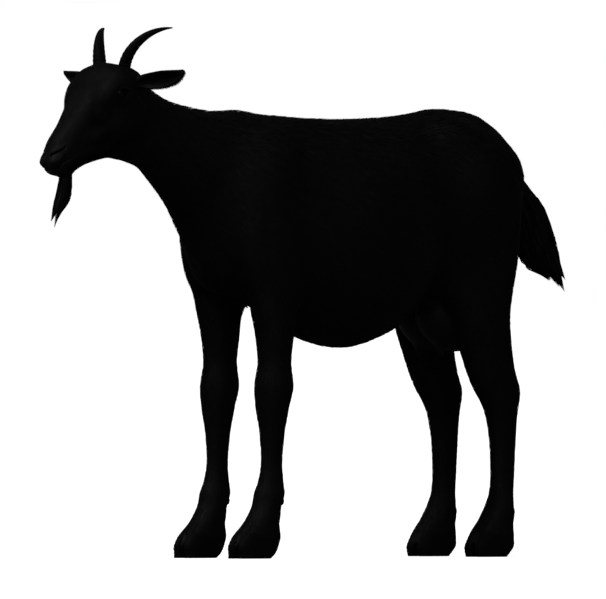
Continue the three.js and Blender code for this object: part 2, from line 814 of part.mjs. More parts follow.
function footPieces(limb, rows, legX, legRow, coronetY, dewclawHeight) {
  const tilt = new THREE.Vector3(0, CORONET.slope, 1).normalize();
  const coronet = new THREE.Vector3(0, coronetY, CORONET.height);
  const aboveCoronet = beyond(coronet, tilt);
  const belowCoronet = beyond(coronet, tilt.clone().negate());
  const pieces = {
    upper: limb.intersect(above(HOCK)),
    lower: limb.intersect(below(HOCK)).intersect(aboveCoronet),
  };
  const grown = leg(legRow, legX, 2 * CUT);
  for (const [side, name] of [[-1, 'inner'], [1, 'outer']]) {
    pieces[`${name}_claw`] = claw(rows, legX + side * CLAW.spread).intersect(belowCoronet);
    const [middle, halfDepth] = legRow(dewclawHeight);
    const dewclawY = middle + halfDepth - DEWCLAW.sunk;
    const dewclaw = new THREE.SphereGeometry(1, FACES.dewclaw.around, FACES.dewclaw.along);
    dewclaw.scale(DEWCLAW.radius, DEWCLAW.radius, DEWCLAW.length / 2);
    dewclaw.rotateX(THREE.MathUtils.degToRad(DEWCLAW.lean));
    dewclaw.translate(legX + side * DEWCLAW.spread, dewclawY, dewclawHeight);
    pieces[`${name}_dewclaw`] = solid(dewclaw).subtract(grown);
  }
  return pieces;
}

const forePieces = footPieces(
  forePart, FORE_CLAW, FORELEG_X, forelegRow, CORONET.foreY, DEWCLAW.foreHeight,
);
const hindPieces = footPieces(
  hindPart, HIND_CLAW, HINDLEG_X, hindlegRow, CORONET.hindY, DEWCLAW.hindHeight,
);

// ---------------------------------------------------------------- the goat

const goat = new THREE.Group();
goat.position.y = -MID_LENGTH;

function add(name, whole, finish) {
  const { vertProperties, triVerts } = largest(whole).getMesh();
  const geometry = new THREE.BufferGeometry();
  geometry.setAttribute('position', new THREE.BufferAttribute(Float32Array.from(vertProperties), 3));
  geometry.setIndex(new THREE.BufferAttribute(Uint32Array.from(triVerts), 1));
  geometry.computeVertexNormals();
  const mesh = new THREE.Mesh(geometry, new THREE.MeshStandardMaterial({ metalness: 0, ...finish }));
  mesh.name = name;
  goat.add(mesh);
}

function addPair(name, [left, right], finish) {
  add(`${name}_left`, left, finish);
  add(`${name}_right`, right, finish);
}

add('trunk', trunkPart, FINISH.coat);
add('neck', neckPart, FINISH.coat);
add('head', headPart, FINISH.coat);
add('udder', udderPart, FINISH.bare);
add('tail', tail, FINISH.coat);
add('beard', beard, FINISH.coat);
addPair('ear', ears, FINISH.coat);
addPair('eye', eyes, FINISH.eye);
addPair('horn', horns, FINISH.horn);
for (const [end, pieces] of [['fore', forePieces], ['hind', hindPieces]]) {
  for (const [name, piece] of Object.entries(pieces)) {
    addPair(`${end}leg_${name}`, pair(piece), name.endsWith('claw') ? FINISH.horn : FINISH.coat);
  }
}

const root = new THREE.Group();
root.add(goat);

export default root;
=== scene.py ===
"""A standing black doe goat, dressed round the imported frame.

One skin covers all the flesh. Over it lies a coat of small closed tufts that follow the lie of
the hair; the beard and the tail are longer locks. Horns, claws and eyes are pieces of their own.

Shapes are worked out in millimetres in the goat's own frame: it faces -Y, its left side is +X,
and it stands on Z = 0. `placed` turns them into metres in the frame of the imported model.
All fields are negative inside, and are written for the left half: x is never below 0 in them.
"""

import math

import bmesh
import bpy
import numpy as np
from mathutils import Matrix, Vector


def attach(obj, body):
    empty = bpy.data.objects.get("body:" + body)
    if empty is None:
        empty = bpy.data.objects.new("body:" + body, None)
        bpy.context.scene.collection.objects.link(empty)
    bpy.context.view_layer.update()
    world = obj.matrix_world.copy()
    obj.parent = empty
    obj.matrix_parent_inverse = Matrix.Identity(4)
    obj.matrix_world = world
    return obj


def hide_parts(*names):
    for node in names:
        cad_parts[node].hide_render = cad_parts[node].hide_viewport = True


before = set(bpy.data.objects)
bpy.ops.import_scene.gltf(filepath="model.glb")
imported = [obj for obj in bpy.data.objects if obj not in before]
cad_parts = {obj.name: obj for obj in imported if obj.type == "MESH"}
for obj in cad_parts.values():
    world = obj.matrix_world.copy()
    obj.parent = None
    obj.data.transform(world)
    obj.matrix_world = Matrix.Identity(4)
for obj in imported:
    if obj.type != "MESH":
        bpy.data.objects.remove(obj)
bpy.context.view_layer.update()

# ---------------------------------------------------------------- picture and stage

PICTURE_WIDTH = 606
PICTURE_HEIGHT = 599
MM_PER_PIXEL = 1.68
FLOOR_ROW = 557.4  # the row where the claws stand
BODY_COLUMN = 343.3  # the column of the goat's own zero
CAMERA_AZIMUTH = math.radians(50)
CAMERA_DISTANCE = 47.0
SENSOR = 36.0
FLOOR_HALF = 900.0

MM = 0.001
MID_LENGTH = -81.0  # y of the middle of the length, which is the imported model's zero

# From the goat's own zero to the middle of the picture: across the line of sight and up, and
# along the goat's middle plane.
SIGHT_ACROSS = (PICTURE_WIDTH / 2 - BODY_COLUMN) * MM_PER_PIXEL
SIGHT_Z = (FLOOR_ROW - PICTURE_HEIGHT / 2) * MM_PER_PIXEL
SIGHT_Y = SIGHT_ACROSS / math.sin(CAMERA_AZIMUTH)

WHITE = (1, 1, 1, 1)
AMBIENT = 0.12  # strength of the light from all round
KEY = ((-0.1, -0.62, 0.78), 1.05, 30)  # the way to a lamp, its strength, its width in degrees
FILL = ((0.8, -0.4, 0.45), 0.5, 60)
SIDES = {"left": 1, "right": -1}


def placed(points):
    """Points of the goat's own frame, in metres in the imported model's frame.

    The tables hold sizes as seen from afar. Here the near end gets under 1% smaller and the
    far end as much larger, which makes up for the camera's distance. The feet stay level.
    """
    x, y, z = np.moveaxis(np.asarray(points, np.float64), -1, 0)
    growth = y * math.cos(CAMERA_AZIMUTH) * MM / CAMERA_DISTANCE
    upper = np.clip(z / SIGHT_Z, 0, 1)
    y = y + (y - SIGHT_Y) * growth
    z = z + (z - SIGHT_Z) * growth * upper
    return np.stack([x, y - MID_LENGTH, z], -1) * MM


def unit(vectors, axis=-1):
    """The same vectors, each of length 1."""
    return vectors / np.maximum(np.linalg.norm(vectors, axis=axis, keepdims=True), 1e-9)


def linked(name, data):
    """A new object in the scene."""
    made = bpy.data.objects.new(name, data)
    bpy.context.scene.collection.objects.link(made)
    return made


def make_camera():
    right = Vector((math.cos(CAMERA_AZIMUTH), math.sin(CAMERA_AZIMUTH), 0))
    back = Vector((math.sin(CAMERA_AZIMUTH), -math.cos(CAMERA_AZIMUTH), 0))
    aim = Vector(placed((0, 0, 0))) + right * SIGHT_ACROSS * MM + Vector((0, 0, SIGHT_Z * MM))
    data = bpy.data.cameras.new("camera")
    data.sensor_width = SENSOR
    data.lens = SENSOR * CAMERA_DISTANCE / (PICTURE_WIDTH * MM_PER_PIXEL * MM)
    data.clip_end = 2 * CAMERA_DISTANCE + FLOOR_HALF
    camera = linked("camera", data)
    camera.location = aim + back * CAMERA_DISTANCE
    camera.rotation_euler = (-back).to_track_quat("-Z", "Y").to_euler()
    bpy.context.scene.camera = camera


def add_sun(name, towards, strength, width):
    data = bpy.data.lights.new(name, "SUN")
    data.energy = strength
    data.angle = math.radians(width)
    linked(name, data).rotation_euler = Vector(towards).to_track_quat("Z", "Y").to_euler()


def make_world():
    """White behind the goat, and a dimmer light of the same colour from all round."""
    world = bpy.data.worlds.new("studio")
    world.use_nodes = True
    tree = world.node_tree
    sky = tree.nodes["Background"]
    sky.inputs["Color"].default_value = WHITE
    ray = tree.nodes.new("ShaderNodeLightPath")
    strength = tree.nodes.new("ShaderNodeMapRange")
    strength.inputs["To Min"].default_value = AMBIENT
    strength.inputs["To Max"].default_value = 1.0
    tree.links.new(ray.outputs["Is Camera Ray"], strength.inputs["Value"])
    tree.links.new(strength.outputs["Result"], sky.inputs["Strength"])
    bpy.context.scene.world = world


def make_stage():
    """A pale floor under a white sky, and a soft light from above and ahead of the face."""
    make_world()
    bpy.context.scene.view_settings.view_transform = "Standard"
    mesh = bpy.data.meshes.new("floor")
    corners = [(x * FLOOR_HALF, y * FLOOR_HALF, 0) for x, y in ((-1, -1), (1, -1), (1, 1), (-1, 1))]
    mesh.from_pydata(corners, [], [(0, 1, 2, 3)])
    mesh.materials.append(floor_material())
    linked("floor", mesh)
    add_sun("key", *KEY)
    add_sun("fill", *FILL)


# ---------------------------------------------------------------- materials

COAT_DARK = (0.0018, 0.0017, 0.0016, 1)
COAT_LIGHT = (0.0048, 0.0045, 0.0042, 1)
LEATHER_DARK = (0.0026, 0.0023, 0.0021, 1)
LEATHER_LIGHT = (0.0050, 0.0044, 0.0041, 1)
HORN_DARK = (0.0012, 0.0011, 0.0010, 1)
HORN_LIGHT = (0.0034, 0.0030, 0.0027, 1)
CLAW_LIGHT = (0.0036, 0.0032, 0.0028, 1)
IRIS_DARK = (0.0028, 0.0020, 0.0014, 1)
IRIS_LIGHT = (0.0085, 0.0052, 0.0028, 1)
EYE_WHITE = (0.004, 0.0033, 0.003, 1)
PUPIL_BLACK = (0.0015, 0.0015, 0.002, 1)
FLOOR_TO_GOAT = (0.15, 0.15, 0.15, 1)
FLOOR_TO_CAMERA = (0.95, 0.95, 0.95, 1)
FLOOR_LIFT = 0.8  # light of the floor's own, to the camera alone

NOISE_LOW, NOISE_HIGH = 0.3, 0.7  # nearly all of a noise lies between these
STRANDS = (3.2, 0.12, 1)  # fine strands in a tuft: across it, and along it
HAIRS = (900, 900, 900)  # fine hairs on the skin
FIBRES = (60, 3, 1)  # in horn: round it, and along it
HORN_BANDS, CLAW_BANDS = 9, 14
IRIS_EDGE = (9.8, 10.8)  # where iris turns into white, in mm from the middle
PUPIL_HALVES = (5.4, 2.3)  # half its length and half its height
PUPIL_SQUARENESS = 3.5


class Shader:
    """A node material, built step by step round one Principled shader."""

    def __init__(self, name, **inputs):
        self.material = bpy.data.materials.new(name)
        self.material.use_nodes = True
        self.tree = self.material.node_tree
        self.shader = self.tree.nodes["Principled BSDF"]
        for socket, value in inputs.items():
            self.shader.inputs[socket.replace("_", " ")].default_value = value

    def node(self, kind, links=(), **settings):
        """A new node. Links give its sockets either a fixed value or another node's output."""
        made = self.tree.nodes.new(kind)
        for name, value in settings.items():
            setattr(made, name, value)
        for socket, value in dict(links).items():
            if isinstance(value, bpy.types.NodeSocket):
                self.tree.links.new(value, made.inputs[socket])
            else:
                made.inputs[socket].default_value = value
        return made

    def place(self):
        return self.node("ShaderNodeTexCoord").outputs["Object"]

    def attribute(self, name, output="Fac"):
        return self.node("ShaderNodeAttribute", attribute_name=name).outputs[output]

    def noise(self, scale, vector, detail=4.0, roughness=0.55):
        links = {"Scale": scale, "Vector": vector, "Detail": detail, "Roughness": roughness}
        return self.node("ShaderNodeTexNoise", links).outputs["Fac"]

    def stretched(self, vector, scale):
        links = {0: vector, 1: scale}
        return self.node("ShaderNodeVectorMath", links, operation="MULTIPLY").outputs[0]

    def maths(self, operation, *values):
        return self.node("ShaderNodeMath", dict(enumerate(values)), operation=operation).outputs[0]

    def span(self, value, low, high, to_low=0.0, to_high=1.0):
        """A value taken from one range to another, and held inside it."""
        links = {0: value, 1: low, 2: high, 3: to_low, 4: to_high}
        return self.node("ShaderNodeMapRange", links).outputs[0]

    def ranged(self, noise, low=0.0, high=1.0):
        """A noise taken to a range of its own."""
        return self.span(noise, NOISE_LOW, NOISE_HIGH, low, high)

    def between(self, share, low, high):
        """One of two colours, or what lies between them."""
        links = {"Factor": share, 6: low, 7: high}
        return self.node("ShaderNodeMix", links, data_type="RGBA").outputs[2]

    def bump(self, height, distance, strength=1.0, under=None):
        links = {"Height": height, "Distance": distance, "Strength": strength}
        if under is not None:
            links["Normal"] = under
        return self.node("ShaderNodeBump", links).outputs["Normal"]

    def set(self, socket, output):
        self.tree.links.new(output, self.shader.inputs[socket])


def floor_material():
    """White to the camera, but dull to the goat, so that little light comes up from below."""
    floor = Shader("studio_floor")
    seen = floor.node("ShaderNodeLightPath").outputs["Is Camera Ray"]
    floor.set("Base Color", floor.between(seen, FLOOR_TO_GOAT, FLOOR_TO_CAMERA))
    floor.set("Emission Strength", floor.span(seen, 0, 1, 0, FLOOR_LIFT))
    floor.set("Roughness", floor.ranged(floor.noise(3.0, floor.place()), 0.85, 0.95))
    return floor.material


def hair_material():
    """Tufts: each has its own shade, and fine strands run along it."""
    hair = Shader("coat_hair", Specular_IOR_Level=0.25, IOR=1.25)
    strand = hair.node("ShaderNodeUVMap", uv_map="strand").outputs["UV"]
    lines = hair.noise(1.0, hair.stretched(strand, STRANDS), 3.0, 0.6)
    patches = hair.ranged(hair.noise(9.0, hair.place(), 3.0), -0.2, 0.2)
    shade = hair.maths("ADD", hair.attribute("shade"), patches)
    share = hair.maths("ADD", shade, hair.ranged(lines, -0.25, 0.25))
    hair.set("Base Color", hair.between(hair.span(share, 0, 1), COAT_DARK, COAT_LIGHT))
    hair.set("Roughness", hair.ranged(lines, 0.42, 0.6))
    hair.set("Normal", hair.bump(lines, 0.0004, 0.6))
    return hair.material


def skin_material():
    """The skin under the coat: hair-coloured where hair grows, and bare on nose and udder."""
    skin = Shader("skin", Specular_IOR_Level=0.25, IOR=1.3)
    place = skin.place()
    bare = skin.attribute("bare")
    strand = skin.attribute("lie_lines", "Vector")
    hairs = skin.noise(1.0, skin.stretched(strand, HAIRS), 3.0, 0.6)
    grain = skin.noise(420.0, place, 5.0, 0.6)
    cells = skin.node("ShaderNodeTexVoronoi", {"Scale": 520.0, "Vector": place}).outputs["Distance"]
    coat = skin.between(skin.ranged(hairs), COAT_DARK, COAT_LIGHT)
    leather = skin.between(skin.ranged(grain), LEATHER_DARK, LEATHER_LIGHT)
    skin.set("Base Color", skin.between(bare, coat, leather))
    rough = skin.span(bare, 0, 1, 0.55, 0.5)
    skin.set("Roughness", skin.maths("ADD", rough, skin.ranged(grain, -0.06, 0.06)))
    pores = skin.maths("MULTIPLY", skin.maths("ADD", cells, grain), bare)
    skin.set("Normal", skin.bump(pores, 0.0006, 0.5, skin.bump(hairs, 0.0005, 0.5)))
    return skin.material


def horn_material(name, light, bands):
    """Grown horn: fibres run along it, and bands of growth run round it."""
    horn = Shader(name, Specular_IOR_Level=0.07, IOR=1.4)
    grown = horn.node("ShaderNodeUVMap", uv_map="grown").outputs["UV"]
    fibres = horn.noise(1.0, horn.stretched(grown, FIBRES), 4.0, 0.6)
    rings = horn.noise(1.0, horn.stretched(grown, (1.2, bands, 1)), 3.0, 0.5)
    share = horn.maths("ADD", horn.ranged(fibres, 0, 0.5), horn.ranged(rings, 0, 0.5))
    horn.set("Base Color", horn.between(share, HORN_DARK, light))
    horn.set("Roughness", horn.ranged(fibres, 0.38, 0.58))
    horn.set("Normal", horn.bump(fibres, 0.0004, 0.5, horn.bump(rings, 0.0012, 0.5)))
    return horn.material


def eye_material():
    """A dark amber iris with a level pupil, under a wet cornea."""
    eye = Shader("eye", Roughness=0.1, Specular_IOR_Level=0.25, IOR=1.36)
    gaze = eye.node("ShaderNodeSeparateXYZ", {0: eye.attribute("gaze", "Vector")})
    level, upright = gaze.outputs["X"], gaze.outputs["Y"]
    squares = [eye.maths("POWER", value, 2) for value in (level, upright)]
    radius = eye.maths("SQRT", eye.maths("ADD", *squares))
    turn = eye.maths("MULTIPLY", eye.maths("ARCTAN2", upright, level), 9.0)
    rays = eye.node("ShaderNodeCombineXYZ", {"X": turn, "Y": radius})
    streaks = eye.noise(1.3, rays.outputs[0], 3.0)
    iris = eye.between(eye.ranged(streaks), IRIS_DARK, IRIS_LIGHT)
    ball = eye.between(eye.span(radius, *IRIS_EDGE), iris, EYE_WHITE)
    reach = []
    for value, half in zip((level, upright), PUPIL_HALVES):
        far = eye.maths("ABSOLUTE", eye.maths("DIVIDE", value, half))
        reach.append(eye.maths("POWER", far, PUPIL_SQUARENESS))
    pupil = eye.span(eye.maths("ADD", *reach), 0.8, 1.2, 1, 0)
    eye.set("Base Color", eye.between(pupil, ball, PUPIL_BLACK))
    return eye.material


# ---------------------------------------------------------------- tables of the body

TRUNK = [  # y, back line, widest level, belly line, half width
    (-333, 620, 560, 508, 22),
    (-308, 678, 560, 474, 52),
    (-274, 724, 560, 450, 78),
    (-226, 742.8, 555, 438, 98),
    (-160, 743.2, 545, 409, 112),
    (-94, 739, 530, 369, 122),
    (-10, 737, 520, 351.3, 131),
    (70, 739.3, 530, 372.5, 128),
    (136, 745, 550, 418, 113),
    (202, 754.2, 580, 440, 97),
    (260, 749.3, 600, 480, 86),
    (305, 730.5, 615, 520, 72),
    (345, 696.5, 625, 562, 47),
    (368, 662, 630, 592, 26),
]
NECK_ROOT = (-240, 607)
NECK_LINE = (-0.869, 0.494)
NECK = [  # along, crest, throat, half width
    (0, 114.8, -104, 80),
    (60, 115.2, -96, 74),
    (104, 104.2, -84.5, 66),
    (128, 94.2, -78, 60),
    (166, 79.5, -68.3, 52),
    (200, 69, -60.8, 47),
    (236, 64, -67.5, 44),
    (262, 64, -74.5, 42),
    (290, 60, -71, 31),
]
POLL = (-508, 830)
FACE_LINE = (-0.652, -0.758)
HEAD = [  # along, face line, widest level, jaw line, half width
    (-20, -46, -50, -60, 8),
    (-13, -31, -40, -74, 25),
    (0, -2, -34, -104, 42),
    (30, 22, -30, -127, 55),
    (60, 23, -28, -128, 53),
    (90, 21.5, -30, -115.5, 49),
    (120, 19, -30, -98.6, 41),
    (150, 16.5, -28, -75.6, 33.3),
    (175, 16, -22, -59, 29.8),
    (198, 12, -16, -49, 26.5),
    (212, 6, -14, -42, 24),
    (222, -3, -14, -32, 18),
    (227, -11, -15, -21, 8),
]
FORELEG_X = 71.0
FORELEG = [  # height, middle y, half depth, half width
    (20, -256, 35.5, 24),
    (46, -246, 34.5, 24),
    (66, -236, 30.5, 25),
    (88, -228, 25, 24),
    (107, -222.3, 26.8, 23.5),
    (128, -219, 22.5, 19),
    (160, -217, 20, 14.5),
    (207, -216, 23, 17.5),
    (248, -215.5, 29, 24.5),
    (288, -212, 34.2, 30),
    (328, -210.8, 30.2, 25),
    (369, -210.5, 34.3, 28),
    (420, -213, 43.8, 31),
    (480, -213, 57.3, 34),
    (560, -212, 44, 24),
    (610, -212, 14, 10),
]
HINDLEG_X = 75.5
HINDLEG = [  # height, middle y, half depth, half width
    (20, 253, 34, 24),
    (46, 264, 34.3, 24),
    (66, 272.8, 31.2, 25),
    (88, 278.8, 23.8, 23.5),
    (107, 282.2, 21.3, 19),
    (140, 284.8, 22.6, 15.5),
    (185, 285.3, 24.6, 16.5),
    (228, 283.5, 28.5, 20),
    (250, 281.5, 32.3, 24),
    (268, 278, 39.8, 26),
    (288, 270.3, 46.6, 27),
    (308, 261.3, 47.3, 28.5),
    (348, 249, 50.8, 31),
    (396, 237.5, 56.3, 36.5),
    (450, 229.5, 72.3, 37),
    (520, 228, 86.8, 38),
    (600, 228, 80, 34),
    (680, 225, 30, 16),
]
CORONET = {"height": 37.0, "slope": 0.2, "foreleg": -248.0, "hindleg": 263.0}
CLAW_SPREAD = 13.6
CLAW_HALF_WIDTH = 13.3
FORE_CLAW = [  # height, middle y, half depth
    (0, -265.5, 33),
    (8, -260.5, 38),
    (20, -257.3, 42),
    (32, -252, 41),
    (48, -244.8, 33.5),
    (62, -238.5, 24),
]
HIND_CLAW = [
    (0, 250, 31),
    (8, 252.8, 36.5),
    (18, 256.3, 40.8),
    (33, 260.3, 37),
    (49, 265, 31.5),
    (62, 269.5, 24),
]
TAIL_ROOT = (345, 660)
TAIL_LINE = (0.558, -0.83)
TAIL = [  # along, middle, half depth, half width
    (-20, -4, 20, 18),
    (20, -4, 24, 20),
    (80, -2, 32, 23),
    (110, -4, 38, 24),
    (148, -11.2, 41.5, 22),
    (174, -13, 39.5, 20),
    (194, -11.5, 32.5, 16),
    (215, -8, 23, 12),
    (236, -3, 14, 8),
    (251, -3, 5, 3),
]
DOCK = [  # the fleshy part of the tail: along, middle, half depth, half width
    (-20, -6, 17, 15),
    (20, -5, 15, 14),
    (80, -2, 12, 11),
    (120, 0, 9, 8),
    (146, 0, 4, 4),
]
BEARD = [  # height, middle y, half depth, half width
    (564, -634, 2, 1.5),
    (573, -633, 9, 3.5),
    (584, -625.5, 12.5, 5.5),
    (598, -618, 14.5, 7.5),
    (613, -612.5, 14.5, 8.5),
    (629, -610.5, 12, 8.5),
    (640, -609.5, 11, 8.5),
    (664, -606, 11, 10),
]
EAR_ROOT = np.array((44, -496.5, 796.6))
EAR_TIP = np.array((158.5, -479.5, 812))
EAR_OPENING = np.array((0, -0.94, -0.34))
EAR = [  # along, half height, half depth, rise
    (-12, 11, 8.5, 0),
    (6, 10.5, 8.5, -0.4),
    (26, 14, 8.7, -1.2),
    (60, 15.8, 8, -2.5),
    (85, 13.8, 6, -2.6),
    (104, 9.2, 3.6, -0.2),
    (112, 6.0, 2.4, 2.4),
    (117, 4.0, 1.4, 4.0),
]
EAR_HOLLOW = [
    (14, 1, 1, -0.6),
    (26, 7.5, 6.5, -1.2),
    (42, 11.5, 9.2, -1.8),
    (60, 12.4, 9.4, -2.2),
    (85, 10.0, 7.4, -1.6),
    (104, 4.8, 4.4, 1.5),
    (113, 0.5, 0.5, 4.5),
]

# Swellings: centre, radii, the blend's width and the lean in degrees.
MUSCLES = {
    "shoulder blade": ((64, -222, 610), (34, 58, 110), 30, -14),
    "point of shoulder": ((60, -262, 525), (38, 30, 70), 20, 0),
    "upper arm": ((74, -196, 500), (32, 40, 78), 30, 18),
    "brisket": ((0, -264, 486), (44, 44.3, 40), 24, 0),
    "haunch": ((60, 236, 600), (42, 84, 110), 50, 0),
    "pin bone": ((44, 319, 633), (26, 26, 46), 30, 0),
    "hook bone": ((58, 186, 704), (26, 36, 26), 36, 0),
}
HEAD_FORMS = {  # the same, in x, along the face and up from it
    "brow": ((42, 54, 1.5), (18.5, 36, 16.5), 16, 0),
    "before the eye": ((38.5, 88, -13), (11.5, 27, 16), 16, 0),
    "forehead": ((0, 42, 4), (40, 34, 19.5), 12, 0),
    "shelf over the eye": ((41, 34, -18), (20, 31, 21), 16, 0),
    "cheek": ((35, 76, -62), (15, 36, 28), 18, 0),
    "cheek bone": ((47, 44, -30), (9, 26, 7), 9, 0),
    "facial crest": ((31, 98, -38), (8, 34, 10), 22, 0),
    "rim behind the eye": ((45.5, 37, -24), (10.5, 8.5, 28), 7, 0),
    "nostril fold": ((16.5, 203.5, -4.6), (10.3, 11, 6.8), 3, 0),
    "upper lip": ((10, 212, -4), (13, 12.5, 9.5), 3.5, 0),
    "lower lip": ((0, 218.9, -20.8), (15, 8.6, 13), 4, -30),
    "chin": ((0, 205, -38), (15, 14, 10), 8, 0),
}
HEAD_HOLLOWS = {
    "temple": ((60, 18, -30), (12, 11, 18), 10, 0),
    "side of the nose": ((53, 126, -20), (14, 50, 28), 20, 0),
    "before the cheek": ((44, 132, -52), (12, 30, 15), 14, 0),
    "below the ear": ((54, 18, -58), (9, 12, 30), 12, 0),
}
UDDER = {
    "half": ((24, 204, 412), (46, 58, 54), 14, 0),
    "floor": ((26, 223, 384), (38, 53, 39), 14, 0),
}
TEAT = ((27, 196, 372), (30, 188, 341), 12, 5.5)
EYE = {"x": 43.0, "along": 54.0, "up": -14.0, "radius": 14.0, "slant": 44.0}
ALMOND = {"radius": 16.2, "sag": 10.6}  # the two arcs between the lids
GAZE = (0.965, -0.24, 0.08)
BEHIND = 20.0  # the gaze map's value on the back of the eyeball
LID_EDGE, LID = 1.1, 3.0  # how far the lids stand out from the eyeball, at their edge and beyond
LID_FOLDS = [  # how deep, how far outside the almond, how wide, and on which side of it
    (1.3, 5.0, 1.3, "over"),  # fold over the upper lid
    (-0.9, 8.5, 2.2, "over"),  # edge of the socket over it
    (-0.5, 1.4, 1.2, "round"),  # rim of the lids
    (0.8, 5.5, 1.8, "under"),  # fold under the eye
]
NOSTRIL = {
    "places": [
        (8, 210, 5.5),
        (13, 206.5, 7),
        (18.2, 202, 6.2),
        (22.6, 194.5, 2.8),
        (25, 183.5, 0.5),
    ],
    "radii": [0.6, 0.9, 1.1, 1.0, 0.5],
    "inwards": (-2.6, -0.5, -2.8),  # to the wider hollow behind the slit
    "widening": 2.0,
}
PHILTRUM = [(0, 218, 6), (0, 225.5, -2), (0, 225.5, -9)]
JAW_EDGE = [(50, 20, -50), (47, 27, -80), (36, 38, -106), (20, 52, -124)]
MOUTH = {
    "places": [
        (0, 227, -12),
        (13, 222.5, -12.5),
        (23.5, 211, -12.5),
        (29, 186, -23.5),
        (31.5, 158, -37),
    ],
    "radii": [2.2, 2.2, 2.0, 1.7, 0.9],
}
BEARD_POINTS = [(0.8, -644, 564.5), (-0.6, -634.0, 554)]  # the two points it ends in
TAIL_ENDS = [  # along, across and x of the points that the tail's hair runs out to
    (254, -3, 0),
    (239, 10, 1.5),
    (242, -8, -2),
    (219, -21, 2),
    (206, 15, 0),
    (182, -44, -1),
    (158, -50, 1),
]
HORN = {"x": 32, "y": -507, "z": 820, "out": 58, "back": 58, "rise": 69, "spread": 0.8}
HORN_BASE, HORN_TAPER, HORN_TIP, HORN_FLAT = 10.1, 1.6, 1.0, 0.95
DEWCLAW = {"spread": 12.0, "foreleg": 98.0, "hindleg": 78.0, "radius": 7.5, "half_length": 10.0}
DEWCLAW_LEAN = math.radians(16)
DEWCLAW_SUNK = 10.5
LEGS = {"foreleg": (FORELEG, FORE_CLAW, FORELEG_X), "hindleg": (HINDLEG, HIND_CLAW, HINDLEG_X)}


# ---------------------------------------------------------------- fields


def through(rows, place):
    """The columns of a table at some places, as smooth curves through its rows."""
    table = np.asarray(rows, np.float32)
    keys, values = table[:, 0], table[:, 1:]
    rise = np.diff(values, axis=0) / np.diff(keys)[:, None]
    same = rise[:-1] * rise[1:] > 0
    total = np.where(same, rise[:-1] + rise[1:], 1)
    inner = np.where(same, 2 * rise[:-1] * rise[1:] / total, 0)
    slopes = np.concatenate([rise[:1], inner, rise[-1:]])
    row = np.clip(np.searchsorted(keys, place) - 1, 0, len(keys) - 2)
    width = (keys[1:] - keys[:-1])[row]
    t = np.clip((place - keys[row]) / width, 0, 1)
    start, end = (1 + 2 * t) * (1 - t) ** 2, t * t * (3 - 2 * t)
    leaving, arriving = t * (1 - t) ** 2 * width, t * t * (t - 1) * width
    columns = []
    for value, slope in zip(values.T, slopes.T):
        level = start * value[row] + end * value[row + 1]
        columns.append(level + leaving * slope[row] + arriving * slope[row + 1])
    return columns


def blend(a, b, width):
    """The smaller of two fields, rounded over a width where they cross."""
    overlap = np.maximum(width - np.abs(a - b), 0) / width
    return np.minimum(a, b) - overlap * overlap * width / 4


def carve(a, b, width):
    """The first field with the second cut out of it."""
    return -blend(-a, b, width)


def oval(across, up, half_across, half_up, exponent=2.0):
    length = np.sqrt(across * across + up * up) + 1e-3
    ratio = (np.abs(across) / half_across) ** exponent + (np.abs(up) / half_up) ** exponent
    return length * (1 - 1 / (ratio ** (1 / exponent) + 1e-4))


def capped(gap, place, rows):
    """A field that stops where its table stops."""
    end = np.maximum(rows[0][0] - place, place - rows[-1][0])
    corner = np.sqrt(np.maximum(gap, 0) ** 2 + np.maximum(end, 0) ** 2)
    return np.where((gap > 0) & (end > 0), corner, np.maximum(gap, end))


def ellipsoid(p, centre, radii, lean=0.0):
    turn = math.radians(lean)
    x, y, z = (p[i] - centre[i] for i in range(3))
    if lean:
        y, z = y * math.cos(turn) + z * math.sin(turn), z * math.cos(turn) - y * math.sin(turn)
    near, steep = (
        np.sqrt(sum((c / r**power) ** 2 for c, r in zip((x, y, z), radii))) + 1e-6
        for power in (1, 2)
    )
    return near * (near - 1) / steep


def swell(field, forms, p):
    for centre, radii, width, lean in forms.values():
        field = blend(field, ellipsoid(p, centre, radii, lean), width)
    return field


def cone(p, start, end, start_radius, end_radius):
    start, end = np.asarray(start, np.float32), np.asarray(end, np.float32)
    line = end - start
    offset = [p[i] - start[i] for i in range(3)]
    t = np.clip(sum(offset[i] * line[i] for i in range(3)) / (line @ line), 0, 1)
    gap = np.sqrt(sum((offset[i] - line[i] * t) ** 2 for i in range(3)))
    return gap - (start_radius + (end_radius - start_radius) * t)


def tube(p, places, radii):
    """A bent rod through some places."""
    pieces = zip(places, places[1:], radii, radii[1:])
    return np.minimum.reduce([cone(p, *piece) for piece in pieces])


def leaning(p, root, line, side):
    """Along and across a line that leans in the plane x = 0. Across points up with side -1
    for a line that runs forward, and with side 1 for one that runs back."""
    y, z = p[1] - root[0], p[2] - root[1]
    return y * line[0] + z * line[1], side * (z * line[0] - y * line[1])


def face_frame(p):
    return p[0], *leaning(p, POLL, FACE_LINE, -1)


def trunk_field(p):
    back, widest, belly, half_width = through(TRUNK, p[1])
    up = p[2] - widest
    half_up = np.where(up > 0, back - widest, widest - belly)
    return capped(oval(p[0], up, half_width, half_up, 2.1), p[1], TRUNK)


def neck_field(p):
    along, up = leaning(p, NECK_ROOT, NECK_LINE, -1)
    crest, throat, half_width = through(NECK, along)
    middle, half_up = (crest + throat) / 2, (crest - throat) / 2
    return capped(oval(p[0], up - middle, half_width, half_up), along, NECK)


def upright_field(p, rows, axis_x):
    """A leg, or a claw, whose table leaves out the half width."""
    middle, half_depth, *half_width = through(rows, p[2])
    if not half_width:
        half_width = [CLAW_HALF_WIDTH - 5 * np.clip((p[2] - 36) / 26, 0, 1)]
    return capped(oval(p[0] - axis_x, p[1] - middle, *half_width, half_depth, 2.2), p[2], rows)


